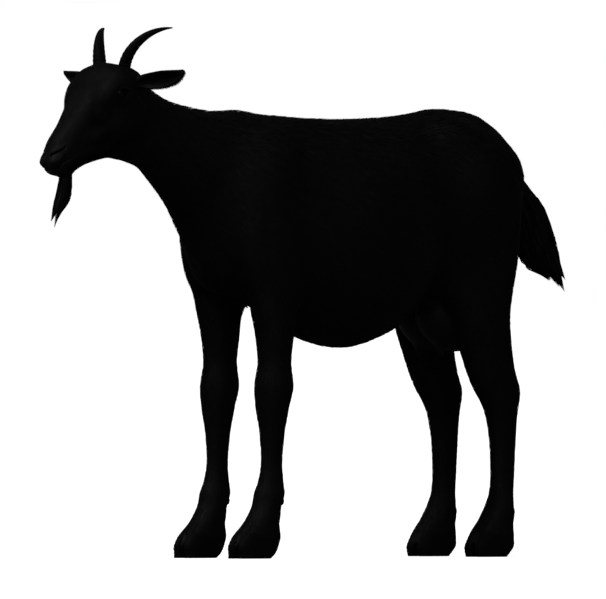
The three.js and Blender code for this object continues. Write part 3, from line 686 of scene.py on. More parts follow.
def dock_field(p):
    along, up = leaning(p, TAIL_ROOT, TAIL_LINE, 1)
    middle, half_depth, half_width = through(DOCK, along)
    return capped(oval(p[0], up - middle, half_width, half_depth), along, DOCK)


def udder_field(p):
    field = swell(ellipsoid(p, *UDDER["half"][:2]), {"floor": UDDER["floor"]}, p)
    return blend(field, cone(p, *TEAT), 8)


EAR_LINE = unit(EAR_TIP - EAR_ROOT)
EAR_FRONT = unit(EAR_OPENING - EAR_OPENING @ EAR_LINE * EAR_LINE)
EAR_RISE = np.cross(EAR_FRONT, EAR_LINE)


def ear_frame(p):
    """Along the ear from its root, up across it, and out of its opening."""
    offset = [p[i] - EAR_ROOT[i] for i in range(3)]
    return [sum(offset[i] * axis[i] for i in range(3)) for axis in (EAR_LINE, EAR_RISE, EAR_FRONT)]


def ear_field(p):
    along, up, front = ear_frame(p)
    shapes = []
    for rows, forward in ((EAR, 0), (EAR_HOLLOW, 5)):
        half_height, half_depth, rise = through(rows, along)
        gap = oval(up - rise, front - forward, half_height, half_depth)
        shapes.append(capped(gap, along, rows))
    return carve(*shapes, 1.5)


def nostril_gap(q):
    inner = [np.add(place, NOSTRIL["inwards"]) for place in NOSTRIL["places"]]
    slit = tube(q, NOSTRIL["places"], NOSTRIL["radii"])
    wider = [radius * NOSTRIL["widening"] for radius in NOSTRIL["radii"]]
    return np.minimum(slit, tube(q, inner, wider))


def lid_gap(q):
    """How far a point of the face is outside the almond between the lids, and above its line."""
    along, up = q[1] - EYE["along"], q[2] - EYE["up"]
    turn = math.radians(EYE["slant"])
    level = along * math.cos(turn) + up * math.sin(turn)
    above = up * math.cos(turn) - along * math.sin(turn)
    return np.sqrt(level**2 + (np.abs(above) + ALMOND["sag"]) ** 2) - ALMOND["radius"], above


def ridge(gap, width):
    return np.exp(-((gap / width) ** 2))


def head_field(p):
    q = face_frame(p)
    along = q[1]
    face, widest, jaw, half_width = through(HEAD, along)
    up = q[2] - widest
    half_up = np.where(up > 0, face - widest, widest - jaw)
    field = capped(oval(q[0], up, half_width, half_up, np.where(up > 0, 2.5, 1.9)), along, HEAD)
    for centre, radii, width, lean in HEAD_HOLLOWS.values():
        field = carve(field, ellipsoid(q, centre, radii, lean), width)
    field = carve(field, tube(q, JAW_EDGE, [3, 4, 4, 2]), 9)
    return head_details(swell(field, HEAD_FORMS, q), q)


def head_details(field, q):
    """Lids, nostrils and lips, cut into the head or raised on it."""
    eye = [q[0] - EYE["x"], q[1] - EYE["along"], q[2] - EYE["up"]]
    eye_gap = np.sqrt(eye[0] ** 2 + eye[1] ** 2 + eye[2] ** 2) - EYE["radius"]
    opening, above = lid_gap(q)
    field = blend(field, eye_gap - (LID_EDGE + (LID - LID_EDGE) * np.clip(opening / 7, 0, 1)), 6)
    near_eye = ridge(eye_gap, 9.0)
    over = np.clip(above / 3 + 0.5, 0, 1)
    share = {"over": over, "round": 1, "under": 1 - over}
    for depth, outside, width, side in LID_FOLDS:
        field = field + depth * ridge(opening - outside, width) * share[side] * near_eye
    field = carve(field, np.maximum(opening, -eye[0]), 1.0)
    field = carve(field, nostril_gap(q), 0.8)
    field = carve(field, tube(q, PHILTRUM, [0.8, 1.4, 1.0]), 2.0)
    return carve(field, tube(q, MOUTH["places"], MOUTH["radii"]), 1.2)


PART_FIELDS = {
    "trunk": trunk_field,
    "neck": neck_field,
    "foreleg": lambda p: upright_field(p, FORELEG, FORELEG_X),
    "hindleg": lambda p: upright_field(p, HINDLEG, HINDLEG_X),
    "udder": udder_field,
    "head": head_field,
    "tail": dock_field,
    "ear": ear_field,
}
NECK_JOIN, FOOT_JOIN = 50, 4
JOINS = {"foreleg": 24, "hindleg": 30, "udder": 14, "head": 18, "tail": 12, "ear": 6}


def flesh(p):
    """The whole body's field, and the fields of its parts."""
    parts = {name: field(p) for name, field in PART_FIELDS.items()}
    whole = swell(blend(parts["trunk"], parts["neck"], NECK_JOIN), MUSCLES, p)
    for name, width in JOINS.items():
        whole = blend(whole, parts[name], width)
    for _, claw, leg_x in LEGS.values():
        for claw_x in (leg_x - CLAW_SPREAD, leg_x + CLAW_SPREAD):
            whole = blend(whole, upright_field(p, claw, claw_x), FOOT_JOIN)
    return whole, parts


# ---------------------------------------------------------------- the lie of the coat

COAT = {  # depth, then each tuft's length and width
    "trunk": (3.2, 27, 1.6),
    "neck": (3.0, 25, 1.5),
    "foreleg": (2.2, 16, 1.2),
    "hindleg": (2.4, 17, 1.2),
    "udder": (0.6, 5, 0.8),
    "head": (1.4, 8.5, 0.85),
    "tail": (2.0, 22, 1.6),
    "ear": (0.4, 7, 0.8),
}
SHARE_WIDTH = 13.0  # over which one part's coat passes into the next
TURN_WIDTH = 24.0  # over which the hair turns from one part's lie to the next's


def shares(parts, width=SHARE_WIDTH):
    """How much each part counts at each point."""
    weights = {name: np.exp(-np.clip(field, -30, 150) / width) for name, field in parts.items()}
    total = sum(weights.values())
    return {name: weight / total for name, weight in weights.items()}


def coat_sizes(p, parts):
    """Depth of the coat, and length and width of its tufts, at each point. All get smaller
    towards the feet, towards the muzzle and where the neck meets the head."""
    part = shares(parts)
    depth, length, width = (sum(part[name] * COAT[name][i] for name in COAT) for i in range(3))
    feet = 0.42 + 0.58 * np.clip((p[2] - 40) / 260, 0, 1)
    muzzle = 1 - 0.55 * np.clip((face_frame(p)[1] - 20) / 180, 0, 1) * (p[1] < -440)
    nape = 1 - 0.5 * part["neck"] * np.clip((-395 - p[1]) / 60, 0, 1)
    short = feet * muzzle * nape
    return depth * short, length * short, width * np.sqrt(short)


def skin_field(p):
    whole, parts = flesh(p)
    return whole + coat_sizes(p, parts)[0]


def lie(p, parts):
    """The way the hair runs, before it is laid along the skin."""
    part = shares(parts, TURN_WIDTH)
    x, _, z = p
    _, along, up = face_frame(p)
    flank = np.clip(x / 110, 0, 1)
    zero = np.zeros_like(x)
    cheek = np.clip((-up - 10) / 50, 0, 1)
    top = np.clip((30 - along) / 50, 0, 1)
    directions = {
        "trunk": (zero, zero + 1, -0.2 - 0.45 * flank),
        "neck": (zero, zero + 0.8, -0.45 - 0.35 * np.clip(x / 45, 0, 1)),
        "foreleg": (zero, zero + 0.22, zero - 1),
        "hindleg": (zero, 0.12 + 0.3 * np.clip((z - 300) / 200, 0, 1), zero - 1),
        "udder": (zero, zero + 0.4, zero - 1),
        "head": (0.25 * cheek, 0.62 + 0.35 * cheek + 0.2 * top, 0.76 * (1 - cheek) - 0.9 * top),
        "tail": (zero, zero + TAIL_LINE[0], zero + TAIL_LINE[1]),
        "ear": tuple(zero + value for value in EAR_LINE),
    }
    ways = [sum(part[name] * way[i] for name, way in directions.items()) for i in range(3)]
    return np.stack(ways)


# ---------------------------------------------------------------- laying points on a field

PROBE = 0.35
LEAST_RISE = 0.3


def gradient(field, p):
    """The way out of a field at some points, of unit length, and the field's rise along it."""
    rise = []
    for axis in range(3):
        ahead = [c + PROBE * (i == axis) for i, c in enumerate(p)]
        behind = [c - PROBE * (i == axis) for i, c in enumerate(p)]
        rise.append((field(ahead) - field(behind)) / (2 * PROBE))
    rise = np.stack(rise)
    size = np.sqrt((rise**2).sum(0)) + 1e-6
    return rise / size, size


def settle(field, p, furthest):
    """Moves points along the field's way out, in two steps, until the field is zero there."""
    p = np.array(p, np.float32)
    for _ in range(2):
        out, rise = gradient(field, p)
        p -= out * np.clip(field(p) / np.maximum(rise, LEAST_RISE), -furthest, furthest)
        p[0] = np.maximum(p[0], 0)
    return p


# ---------------------------------------------------------------- the skin

CORNERS = np.array([(i, j, k) for i in (0, 1) for j in (0, 1) for k in (0, 1)])
EDGES = [(a, b) for a in range(8) for b in range(a) if np.abs(CORNERS[a] - CORNERS[b]).sum() == 1]
FINE = 1.5
COARSE = 6.3
BODY_GRID = [  # for x, y and z: stretches with a start, an end and a spacing, times COARSE
    [(1.5, 40, 1), (40, 108, 0.7), (108, 142, 1)],
    [(-424, -300, 1), (-300, -170, 0.75), (-170, 200, 1.1), (200, 330, 0.75), (330, 470, 1)],
    [(-6, 120, 0.6), (120, 340, 0.85), (340, 800, 1)],
]
HEAD_GRID = [  # the same, times FINE
    [(FINE / 2, 36, 1.15), (36, 62, 1), (62, 164, 1.8)],
    [(-668, -612, 1), (-612, -552, 2), (-552, -512, 1), (-512, -466, 1.4), (-466, -392, 2.6)],
    [(618, 646, 1.8), (646, 696, 1), (696, 762, 2), (762, 800, 1), (800, 856, 1.5)],
]
NECK_CUT = -405.0  # where the finer net of the head begins
CUT_GAP = 2.0
BLOCK = 4  # grid lines between two samples of the first, coarse look
FAR = 1e3
FURTHEST = 1.2  # that a vertex is moved at once


def sampled(field, lines):
    """The field on a grid, worked out only in blocks that its surface may pass through."""
    coarse = [np.unique(np.append(np.arange(0, len(line), BLOCK), len(line) - 1)) for line in lines]
    grid = np.meshgrid(*[line[pick] for line, pick in zip(lines, coarse)], indexing="ij")
    rough = field(np.array(grid, np.float32))
    near = np.abs(rough) < 1.5 * BLOCK * math.hypot(*[np.diff(line).max() for line in lines])
    for axis in range(3):
        near = near | np.roll(near, 1, axis) | np.roll(near, -1, axis)
    places = [np.searchsorted(pick, np.arange(pick[-1] + 1), side="right") - 1 for pick in coarse]
    owner = np.ix_(*places)
    values, near = np.where(rough > 0, FAR, -FAR)[owner].astype(np.float32), near[owner]
    values[near] = field([line[i].astype(np.float32) for line, i in zip(lines, np.nonzero(near))])
    return values


def surface_net(field, lines):
    """Vertices and quads over a field's zero level. The first two x lines lie on both sides of
    x = 0, so the cells between them give the seam of the two mirrored halves."""
    values = sampled(field, lines)
    inside = values < 0
    size = values.shape
    corner_views = [tuple(slice(c[a], size[a] - 1 + c[a]) for a in range(3)) for c in CORNERS]
    count = sum(inside[view].astype(np.int8) for view in corner_views)
    cells = np.nonzero((count > 0) & (count < 8))
    number = np.full(count.shape, -1, np.int64)
    number[cells] = np.arange(len(cells[0]))

    total = np.zeros((3, len(cells[0])))
    hits = np.zeros(len(cells[0]))
    for a, b in EDGES:
        at = [tuple(cells[i] + CORNERS[c][i] for i in range(3)) for c in (a, b)]
        start, end = values[at[0]], values[at[1]]
        crosses = (start < 0) != (end < 0)
        t = np.where(crosses, start / np.where(crosses, start - end, 1), 0)
        for i in range(3):
            place = lines[i][at[0][i]] * (1 - t) + lines[i][at[1][i]] * t
            total[i] += np.where(crosses, place, 0)
        hits += crosses
    points = total / hits
    points[0][cells[0] == 0] = 0

    quads = []
    for axis in range(3):
        first, second = [slice(1, -1)] * 3, [slice(1, -1)] * 3
        first[axis], second[axis] = slice(0, -1), slice(1, None)
        near, far = inside[tuple(first)], inside[tuple(second)]
        at = np.array(np.nonzero(near != far))
        leaving = near[tuple(at)]
        around = []
        for step in ((0, 0), (1, 0), (1, 1), (0, 1)):
            cell = at.copy()
            cell[(axis + 1) % 3] += step[0]
            cell[(axis + 2) % 3] += step[1]
            around.append(number[tuple(cell)])
        around = np.stack(around, 1)
        quads.append(np.where(leaving[:, None], around, around[:, ::-1]))
    quads = np.concatenate(quads)
    return points.T, quads[(quads >= 0).all(1)]


def mirrored(points, quads):
    """Both halves of a body from its left half; points on x = 0 are shared."""
    seam = points[:, 0] <= 1e-6
    twin = np.where(seam, np.arange(len(points)), 0)
    twin[~seam] = len(points) + np.arange((~seam).sum())
    kept = quads[~seam[quads].all(1)]
    points = np.concatenate([points, points[~seam] * (-1, 1, 1)])
    return points, np.concatenate([kept, twin[kept][:, ::-1]])


def reworked(points, faces, work):
    """A mesh's points, faces and edge vertices, after some work on it."""
    mesh = bmesh.new()
    verts = [mesh.verts.new(point) for point in points]
    for face in faces:
        mesh.faces.new([verts[i] for i in face])
    work(mesh)
    mesh.verts.index_update()
    points = np.array([vert.co[:] for vert in mesh.verts])
    faces = [[vert.index for vert in face.verts] for face in mesh.faces]
    edge = [vert.index for vert in mesh.verts if vert.is_boundary]
    mesh.free()
    return points, faces, edge


def half_net(grid, spacing, way):
    """The net over what lies behind the cut in the neck, or with way -1 ahead of it."""
    lines = []
    for stretches in grid:
        pieces = [np.arange(start, end, factor * spacing) for start, end, factor in stretches]
        lines.append(np.concatenate([*pieces, [stretches[-1][1]]]))
    lines[0] = np.append(-lines[0][0], lines[0])

    def cut(mesh):
        geometry = [*mesh.verts, *mesh.edges, *mesh.faces]
        plane = {"plane_co": (0, NECK_CUT + way * CUT_GAP, 0), "plane_no": (0, way, 0)}
        bmesh.ops.bisect_plane(mesh, geom=geometry, dist=1e-4, clear_inner=True, **plane)

    return reworked(*mirrored(*surface_net(skin_field, lines)), cut)


def zipped(points, *rings):
    """Triangles between two rings of vertices that run round the neck."""
    middle = points[rings[0]][:, [0, 2]].mean(0)
    sorted_rings = []
    for ring in rings:
        across, up = (points[ring][:, [0, 2]] - middle).T
        angle = np.arctan2(up, across)
        order = np.argsort(angle)
        angles = [*angle[order], angle[order[0]] + 2 * math.pi]
        sorted_rings.append(([ring[i] for i in [*order, order[0]]], angles))
    (first, first_angle), (second, second_angle) = sorted_rings
    i = j = 0
    faces = []
    while i < len(rings[0]) or j < len(rings[1]):
        more = i < len(rings[0])
        ahead = j >= len(rings[1]) or (more and first_angle[i + 1] < second_angle[j + 1])
        faces.append([first[i], second[j], first[i + 1] if ahead else second[j + 1]])
        i, j = i + bool(ahead), j + (not ahead)
    return faces


def left_half(points):
    """Points folded onto the goat's left half, as the x, y and z of a field."""
    x, y, z = np.asarray(points, np.float32).T
    return np.stack([np.abs(x), y, z])


def skin_mesh():
    """The skin: a net over trunk and legs, a finer one over the head, and the join of both."""
    body, faces, body_edge = half_net(BODY_GRID, COARSE, 1)
    head, head_faces, head_edge = half_net(HEAD_GRID, FINE, -1)
    points = np.concatenate([body, head])
    faces += [[i + len(body) for i in face] for face in head_faces]
    faces += zipped(points, body_edge, [i + len(body) for i in head_edge])
    settled = settle(skin_field, left_half(points), FURTHEST)
    settled[0] *= np.sign(points[:, 0])

    def turn_out(mesh):
        bmesh.ops.recalc_face_normals(mesh, faces=mesh.faces)

    return reworked(settled.T, faces, turn_out)


# ---------------------------------------------------------------- making pieces


def new_piece(name, points, loops, starts, material, slot, nodes=()):
    """A mesh object that rides on the goat's one body."""
    mesh = bpy.data.meshes.new(name)
    mesh.vertices.add(len(points))
    mesh.vertices.foreach_set("co", placed(points).astype(np.float32).ravel())
    mesh.loops.add(len(loops))
    mesh.loops.foreach_set("vertex_index", np.asarray(loops, np.int32))
    mesh.polygons.add(len(starts))
    mesh.polygons.foreach_set("loop_start", np.asarray(starts, np.int32))
    mesh.update(calc_edges=True)
    mesh.polygons.foreach_set("use_smooth", np.ones(len(starts), bool))
    mesh.materials.append(material)
    piece = linked(name, mesh)
    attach(piece, "root")
    if nodes:
        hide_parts(*nodes)
    return piece


def from_faces(name, points, faces, *rest):
    sizes = np.array([len(face) for face in faces])
    loops = np.concatenate([np.asarray(face) for face in faces])
    return new_piece(name, points, loops, np.cumsum(sizes) - sizes, *rest)


def set_uv(piece, name, uv):
    layer = piece.data.uv_layers.new(name=name, do_init=False)
    layer.uv.foreach_set("vector", np.asarray(uv, np.float32).ravel())


def set_attribute(piece, name, values, kind="FLOAT"):
    attribute = piece.data.attributes.new(name, kind, "POINT")
    field = "value" if kind == "FLOAT" else "vector"
    attribute.data.foreach_set(field, np.asarray(values, np.float32).ravel())


FLESH_NODES = ["trunk", "neck", "head", "udder", "ear_left", "ear_right"]
for level in ("foreleg_upper", "foreleg_lower", "hindleg_upper", "hindleg_lower"):
    FLESH_NODES += [f"{level}_{side}" for side in SIDES]


def bareness(half):
    """1 where the skin is bare: round the nostrils, on the lips and on the udder."""
    q = face_frame(half)
    nose = np.clip((q[1] - 205) / 10, 0, 1) * (half[1] < -560)
    lids = np.clip(1.6 - np.maximum(lid_gap(q)[0], 0), 0, 1)
    lids = lids * (np.abs(half[0] - EYE["x"]) < 20) * (half[1] < -500)
    teat = np.clip((8 - cone(half, *TEAT)) / 6, 0, 1)
    udder = np.clip((6 - udder_field(half)) / 4, 0, 1) * np.clip((418 - half[2]) / 20, 0, 1)
    return np.clip(np.maximum.reduce([nose, lids, teat, udder]), 0, 1)


def make_skin(material):
    points, faces, _ = skin_mesh()
    skin = from_faces("skin", points, faces, material, "coat", FLESH_NODES)
    set_attribute(skin, "bare", bareness(left_half(points)))
    set_attribute(skin, "lie_lines", placed(points), "FLOAT_VECTOR")
    return skin


# ---------------------------------------------------------------- tufts and locks

ROOT_ROW = 0.2  # of a lock's own map, below which its root's face lies
CORNER_WAYS = ((-0.5, 0.0), (0.5, 0.0), (0.0, 1.0))  # across a lock and up from it
ROUNDNESS = 0.6
PATCH = 0.003  # of the unwrap's width, for one tuft


def lock_faces(count, rings):
    """Loops and face starts for locks of three sides that close in a point, the vertex of each
    loop of one lock, and each loop's place on the lock's own little map, from 0 to 1."""
    rows = np.linspace(ROOT_ROW, 1, rings + 1)
    faces, flat = [], []
    for ring, row, next_row in zip(range(0, 3 * rings, 3), rows, rows[1:]):
        for i in range(3):
            left, right, j = i / 3, i / 3 + 1 / 3, (i + 1) % 3
            flat += [(left, row), (right, row)]
            if ring < 3 * rings - 3:
                faces.append([ring + i, ring + j, ring + 3 + j, ring + 3 + i])
                flat += [(right, next_row), (left, next_row)]
            else:
                faces.append([ring + i, ring + j, ring + 3])
                flat.append((left + 1 / 6, 1))
    faces.append([0, 2, 1])
    flat += [(0, 0), (1, 0), (0.5, ROOT_ROW)]
    loops = np.concatenate(faces)
    sizes = np.array([len(face) for face in faces])
    starts = np.cumsum(sizes) - sizes
    step = np.arange(count)[:, None]
    all_loops = loops + step * (3 * rings + 1)
    return all_loops.ravel(), (starts + step * len(loops)).ravel(), loops, np.array(flat)


def lock_points(path, side, up, width, thickness):
    """Vertices of locks. `path` holds rings + 1 points for each lock, the last of them its tip."""
    rings = path.shape[1] - 1
    corners = []
    for across, height in CORNER_WAYS:
        offset = side[:, :rings] * (width * across)[..., None]
        offset = offset + up[:, :rings] * (thickness * height)[..., None]
        corners.append(path[:, :rings] + offset)
    around = np.stack(corners, 2).reshape(len(path), 3 * rings, 3)
    return np.concatenate([around, path[:, -1:]], 1)


def lock_normals(side, up, rings):
    """Normals that stand off the body, and lean to each side of a lock by its roundness."""
    ways = [up[:, :rings] + side[:, :rings] * (2 * across * ROUNDNESS) for across, _ in CORNER_WAYS]
    around = np.stack(ways, 2).reshape(len(up), 3 * rings, 3)
    return unit(np.concatenate([around, up[:, rings - 1 : rings]], 1))


def filled(root_uv):
    """The roots' places on the unwrap, spread so that one piece fills the whole square."""
    low, high = root_uv.min(0), root_uv.max(0)
    return PATCH / 2 + (1 - PATCH) * (root_uv - low) / (high - low)


def make_locks(
    name, path, side, up, width, thickness, shade, root_uv, material, nodes=(), normals=None
):
    """One piece of the coat, from the paths of its locks and what they look like."""
    count, rings = path.shape[0], path.shape[1] - 1
    points = lock_points(path, side, up, width, thickness)
    loops, starts, pattern, flat = lock_faces(count, rings)
    piece = new_piece(name, points.reshape(-1, 3), loops, starts, material, "coat", nodes)

    across = np.array([*([0.0, 1.0, 0.5] * rings), 0.5])[pattern]
    ring = np.array([*np.repeat(np.arange(rings), 3), rings])[pattern]
    set_uv(piece, "OFBake", filled(root_uv)[:, None, :] + PATCH * (flat - 0.5)[None])
    steps = np.linalg.norm(np.diff(path, axis=1), axis=2)
    along = np.concatenate([np.zeros((count, 1)), np.cumsum(steps, 1)], 1)[:, ring]
    spread = across[None] * width.max(1)[:, None] + shade[:, None] * 977.0
    set_uv(piece, "strand", np.stack([spread, along + shade[:, None] * 571.0], 2))
    set_attribute(piece, "shade", np.repeat(shade, 3 * rings + 1))
    if normals is None:
        normals = lock_normals(side, up, rings)
    piece.data.normals_split_custom_set_from_vertices(normals.reshape(-1, 3).tolist())
    return piece


ATLAS = {  # where each part lies on the unwrap: left, bottom, width, height
    "trunk": (0.0, 0.5, 0.6, 0.5),
    "neck": (0.6, 0.72, 0.4, 0.28),
    "head": (0.6, 0.45, 0.4, 0.27),
    "foreleg": (0.0, 0.0, 0.3, 0.5),
    "hindleg": (0.3, 0.0, 0.3, 0.5),
    "udder": (0.6, 0.3, 0.2, 0.15),
    "tail": (0.8, 0.0, 0.2, 0.3),
    "ear": (0.6, 0.0, 0.2, 0.3),
}
ATLAS_EDGE = 0.004


def unwrapped(points, part_names):
    """Each point's place on the unwrap: the angle round its part, and how far along it lies."""
    x = points[:, 0]
    half = (np.abs(x), points[:, 1], points[:, 2])
    sign = np.sign(x) + (x == 0)
    _, face_along, face_up = face_frame(half)
    neck_along, neck_up = leaning(half, NECK_ROOT, NECK_LINE, -1)
    tail_along, tail_up = leaning(half, TAIL_ROOT, TAIL_LINE, 1)
    ear_along, ear_up, ear_front = ear_frame(half)
    fore_middle = through(FORELEG, half[2])[0]
    hind_middle = through(HINDLEG, half[2])[0]
    turns = {
        "trunk": (half[0], half[2] - 555, (half[1] + 330) / 700),
        "neck": (half[0], neck_up - 10, neck_along / 300),
        "head": (half[0], face_up + 35, (face_along + 30) / 260),
        "foreleg": (half[0] - FORELEG_X, half[1] - fore_middle, half[2] / 620),
        "hindleg": (half[0] - HINDLEG_X, half[1] - hind_middle, half[2] / 690),
        "udder": (half[0], half[1] - 204, (half[2] - 335) / 130),
        "tail": (half[0], tail_up, (tail_along + 25) / 280),
        "ear": (ear_front, ear_up, (ear_along + 15) / 135),
    }
    paired = ("foreleg", "hindleg", "ear")
    uv = np.zeros((len(points), 2))
    for name, (across, up, along) in turns.items():
        chosen = part_names == name
        angle = np.arctan2(across, up) / math.pi
        if name in paired:
            turn = 0.25 * (1 + angle) + np.where(sign > 0, 0.5, 0)
        else:
            turn = 0.5 + 0.5 * sign * angle
        left, bottom, wide, high = ATLAS[name]
        inner = np.stack([np.clip(turn, 0, 1), np.clip(along, 0, 1)], 1)
        inner = ATLAS_EDGE + (1 - 2 * ATLAS_EDGE) * inner
        uv[chosen] = ((left, bottom) + inner * (wide, high))[chosen]
    return uv


def wavering(points, size, seed):
    """A smooth value from -1 to 1 that changes over a length of some millimetres."""
    rng = np.random.default_rng(seed)
    total = np.zeros(len(points))
    for _ in range(4):
        way = rng.normal(size=3)
        way *= 2 * math.pi / (size * np.linalg.norm(way))
        total += np.sin(points @ way + rng.uniform(0, 2 * math.pi))
    return total / 2.6


TUFTS = 112000
MOST_PER_PIECE = 19500
ROOT_SUNK = 0.5
TUFT_BENDS = ((0.42, 0.42), (1.0, 0.95))  # share of the length, and of the coat's depth there


def hair_cover(half, parts):
    """How thickly tufts stand: none in eyes, nostrils, lips, hooves or the ears' hollows."""
    q = face_frame(half)
    opening = lid_gap(q)[0]
    by_eye = (np.abs(half[0] - EYE["x"]) < 20) & (half[1] < -480)
    cover = np.where(by_eye, np.clip((opening - 1.5) / 3, 0, 1), 1.0)
    mouth = tube(q, MOUTH["places"], MOUTH["radii"])
    cover *= np.clip((nostril_gap(q) - 3.5) / 4, 0, 1) * np.clip((mouth - 1.8) / 2, 0, 1)
    cover *= np.where((q[1] > 210) & (half[1] < -560), 0.1, 1)
    along, _, front = ear_frame(half)
    inside_ear = (along > 12) & (front > -2.5) & (parts["ear"] < 2)
    cover *= np.where(inside_ear, 0.25, 1)
    bald = 0.97 * np.clip((5 - parts["udder"]) / 4, 0, 1) * np.clip((425 - half[2]) / 15, 0, 1)
    cover *= 1 - bald
    coronet_y = np.where(half[1] < 0, CORONET["foreleg"], CORONET["hindleg"])
    above_claws = half[2] - CORONET["height"] - CORONET["slope"] * (coronet_y - half[1])
    cover *= np.where(above_claws < 0.8, 0, 1 + 1.5 * (above_claws < 7))
    dock = np.clip((parts["tail"] + 6) / 6, 0, 1) * 0.9 + 0.1
    return cover * np.where(parts["tail"] < 0, dock, 1)


def face_samples(skin, rng):
    """Roots for the tufts, spread over the skin as thickly as the coat's sizes ask."""
    mesh = skin.data
    mesh.calc_loop_triangles()
    triangles = np.zeros(3 * len(mesh.loop_triangles), np.int32)
    mesh.loop_triangles.foreach_get("vertices", triangles)
    corners = np.zeros(3 * len(mesh.vertices), np.float32)
    mesh.vertices.foreach_get("co", corners)
    corners = corners.reshape(-1, 3) / MM + (0, MID_LENGTH, 0)
    a, b, c = (corners[triangles.reshape(-1, 3)[:, i]] for i in range(3))
    half = left_half((a + b + c) / 3)
    parts = flesh(half)[1]
    _, length, width = coat_sizes(half, parts)
    area = np.linalg.norm(np.cross(b - a, c - a), axis=1) / 2
    wanted = area * hair_cover(half, parts) / (length * width)
    marks = (np.arange(TUFTS) + rng.random(TUFTS)) * wanted.sum() / TUFTS
    pick = np.minimum(np.searchsorted(np.cumsum(wanted), marks), len(wanted) - 1)
    one, two = rng.random(TUFTS), rng.random(TUFTS)
    flip = one + two > 1
    one, two = np.where(flip, 1 - one, one), np.where(flip, 1 - two, two)
    return a[pick] + (b - a)[pick] * one[:, None] + (c - a)[pick] * two[:, None]


def coat_tufts(skin):
    """Paths, sides and sizes of all the short tufts."""
    rng = np.random.default_rng(11)
    roots = face_samples(skin, rng)
    half = left_half(roots)
    parts = flesh(half)[1]
    depth, length, width = coat_sizes(half, parts)
    length = length * rng.uniform(0.7, 1.25, TUFTS)
    width = width * rng.uniform(0.7, 1.3, TUFTS)
    out, _ = gradient(skin_field, half)
    run = lie(half, parts)
    run = unit(run - out * (run * out).sum(0), 0)
    across = np.cross(out.T, run.T).T
    turn = 9 * wavering(roots, 90, 3) + 5 * wavering(roots, 28, 4) + rng.normal(0, 5, TUFTS)
    run = run * np.cos(np.radians(turn)) + across * np.sin(np.radians(turn))

    path, ups = [half - out * ROOT_SUNK], [out]
    rise = rng.uniform(0.7, 1.25, TUFTS)
    for share, lift in TUFT_BENDS:
        ahead = half + run * (length * share)
        for _ in range(2):
            way, steep = gradient(skin_field, ahead)
            gap = skin_field(ahead) - depth * lift * rise
            ahead -= way * np.clip(gap / np.maximum(steep, LEAST_RISE), -6, 6)
        path.append(ahead)
        ups.append(way)
    path, ups = (np.stack([p.T for p in points], 1) for points in (path, ups))
    ways = unit(np.diff(path, axis=1))
    sides = unit(np.cross(ups[:, :2], ways))
    ups = np.cross(ways, sides)
    widths = width[:, None] * np.array([0.7, 1.0])
    sign = np.where(roots[:, 0] < 0, -1.0, 1.0)
    mirror = np.stack([sign, np.ones(TUFTS), np.ones(TUFTS)], 1)[:, None, :]
    names = np.array(list(parts))[np.argmin(np.stack(list(parts.values())), 0)]
    return {
        "path": path * mirror,
        "side": sides * mirror * sign[:, None, None],
        "up": ups * mirror,
        "width": widths,
        "thickness": 0.38 * widths,
        "shade": np.clip(0.5 + 0.22 * wavering(roots, 160, 7) + rng.normal(0, 0.14, TUFTS), 0, 1),
        "root_uv": unwrapped(roots, names),
        "part": names,
        "roots": roots,
    }


def make_coat(skin, material):
    """The short coat, in pieces by part of the body."""
    tufts = coat_tufts(skin)
    part, y, x = tufts.pop("part"), tufts["roots"][:, 1], tufts.pop("roots")[:, 0]
    groups = {
        "shoulders": (part == "trunk") & (y < -110),
        "barrel_left": (part == "trunk") & (y >= -110) & (y < 130) & (x >= 0),
        "barrel_right": (part == "trunk") & (y >= -110) & (y < 130) & (x < 0),
        "rump": (part == "trunk") & (y >= 130),
        "neck": part == "neck",
        "head": (part == "head") | (part == "ear"),
        "forelegs": part == "foreleg",
        "hindlegs": (part == "hindleg") | (part == "udder") | (part == "tail"),
    }
    for name, chosen in groups.items():
        index = np.nonzero(chosen)[0]
        pieces = -(-len(index) // MOST_PER_PIECE)
        for number, some in enumerate(np.array_split(index, max(pieces, 1))):
            label = f"coat_{name}" if pieces < 2 else f"coat_{name}_{number + 1}"
            make_locks(label, *[tufts[key][some] for key in tufts], material)


# ---------------------------------------------------------------- long hair

LOCK_RINGS = 5
LOCK_PROFILE = [0.7, 1.0, 0.95, 0.75, 0.42]  # its width at each ring
BEARD_LOCKS = 420
TAIL_LOCKS = 2300


def long_locks(name, path, width, seed, material, part, nodes=()):
    """Long locks along given paths, each with its own turn about its length."""
    rng = np.random.default_rng(seed)
    count = len(path)
    ways = unit(np.gradient(path, axis=1)[:, :-1])
    start = rng.normal(size=(count, 1, 3))
    side = unit(start - ways * (start * ways).sum(2, keepdims=True))
    up = np.cross(ways, side)
    widths = width[:, None] * LOCK_PROFILE
    shade = np.clip(rng.normal(0.5, 0.2, count), 0, 1)
    uv = unwrapped(path[:, 0], np.full(count, part))
    away = path[:, :-1] - path.mean(0)[:-1]
    away = unit(away - ways * (away * ways).sum(2, keepdims=True))
    stray = 0.25 * rng.normal(size=away.shape)
    normals = lock_normals(np.cross(away, ways), away + stray, LOCK_RINGS)
    make_locks(name, path, side, up, widths, 0.45 * widths, shade, uv, material, nodes, normals)


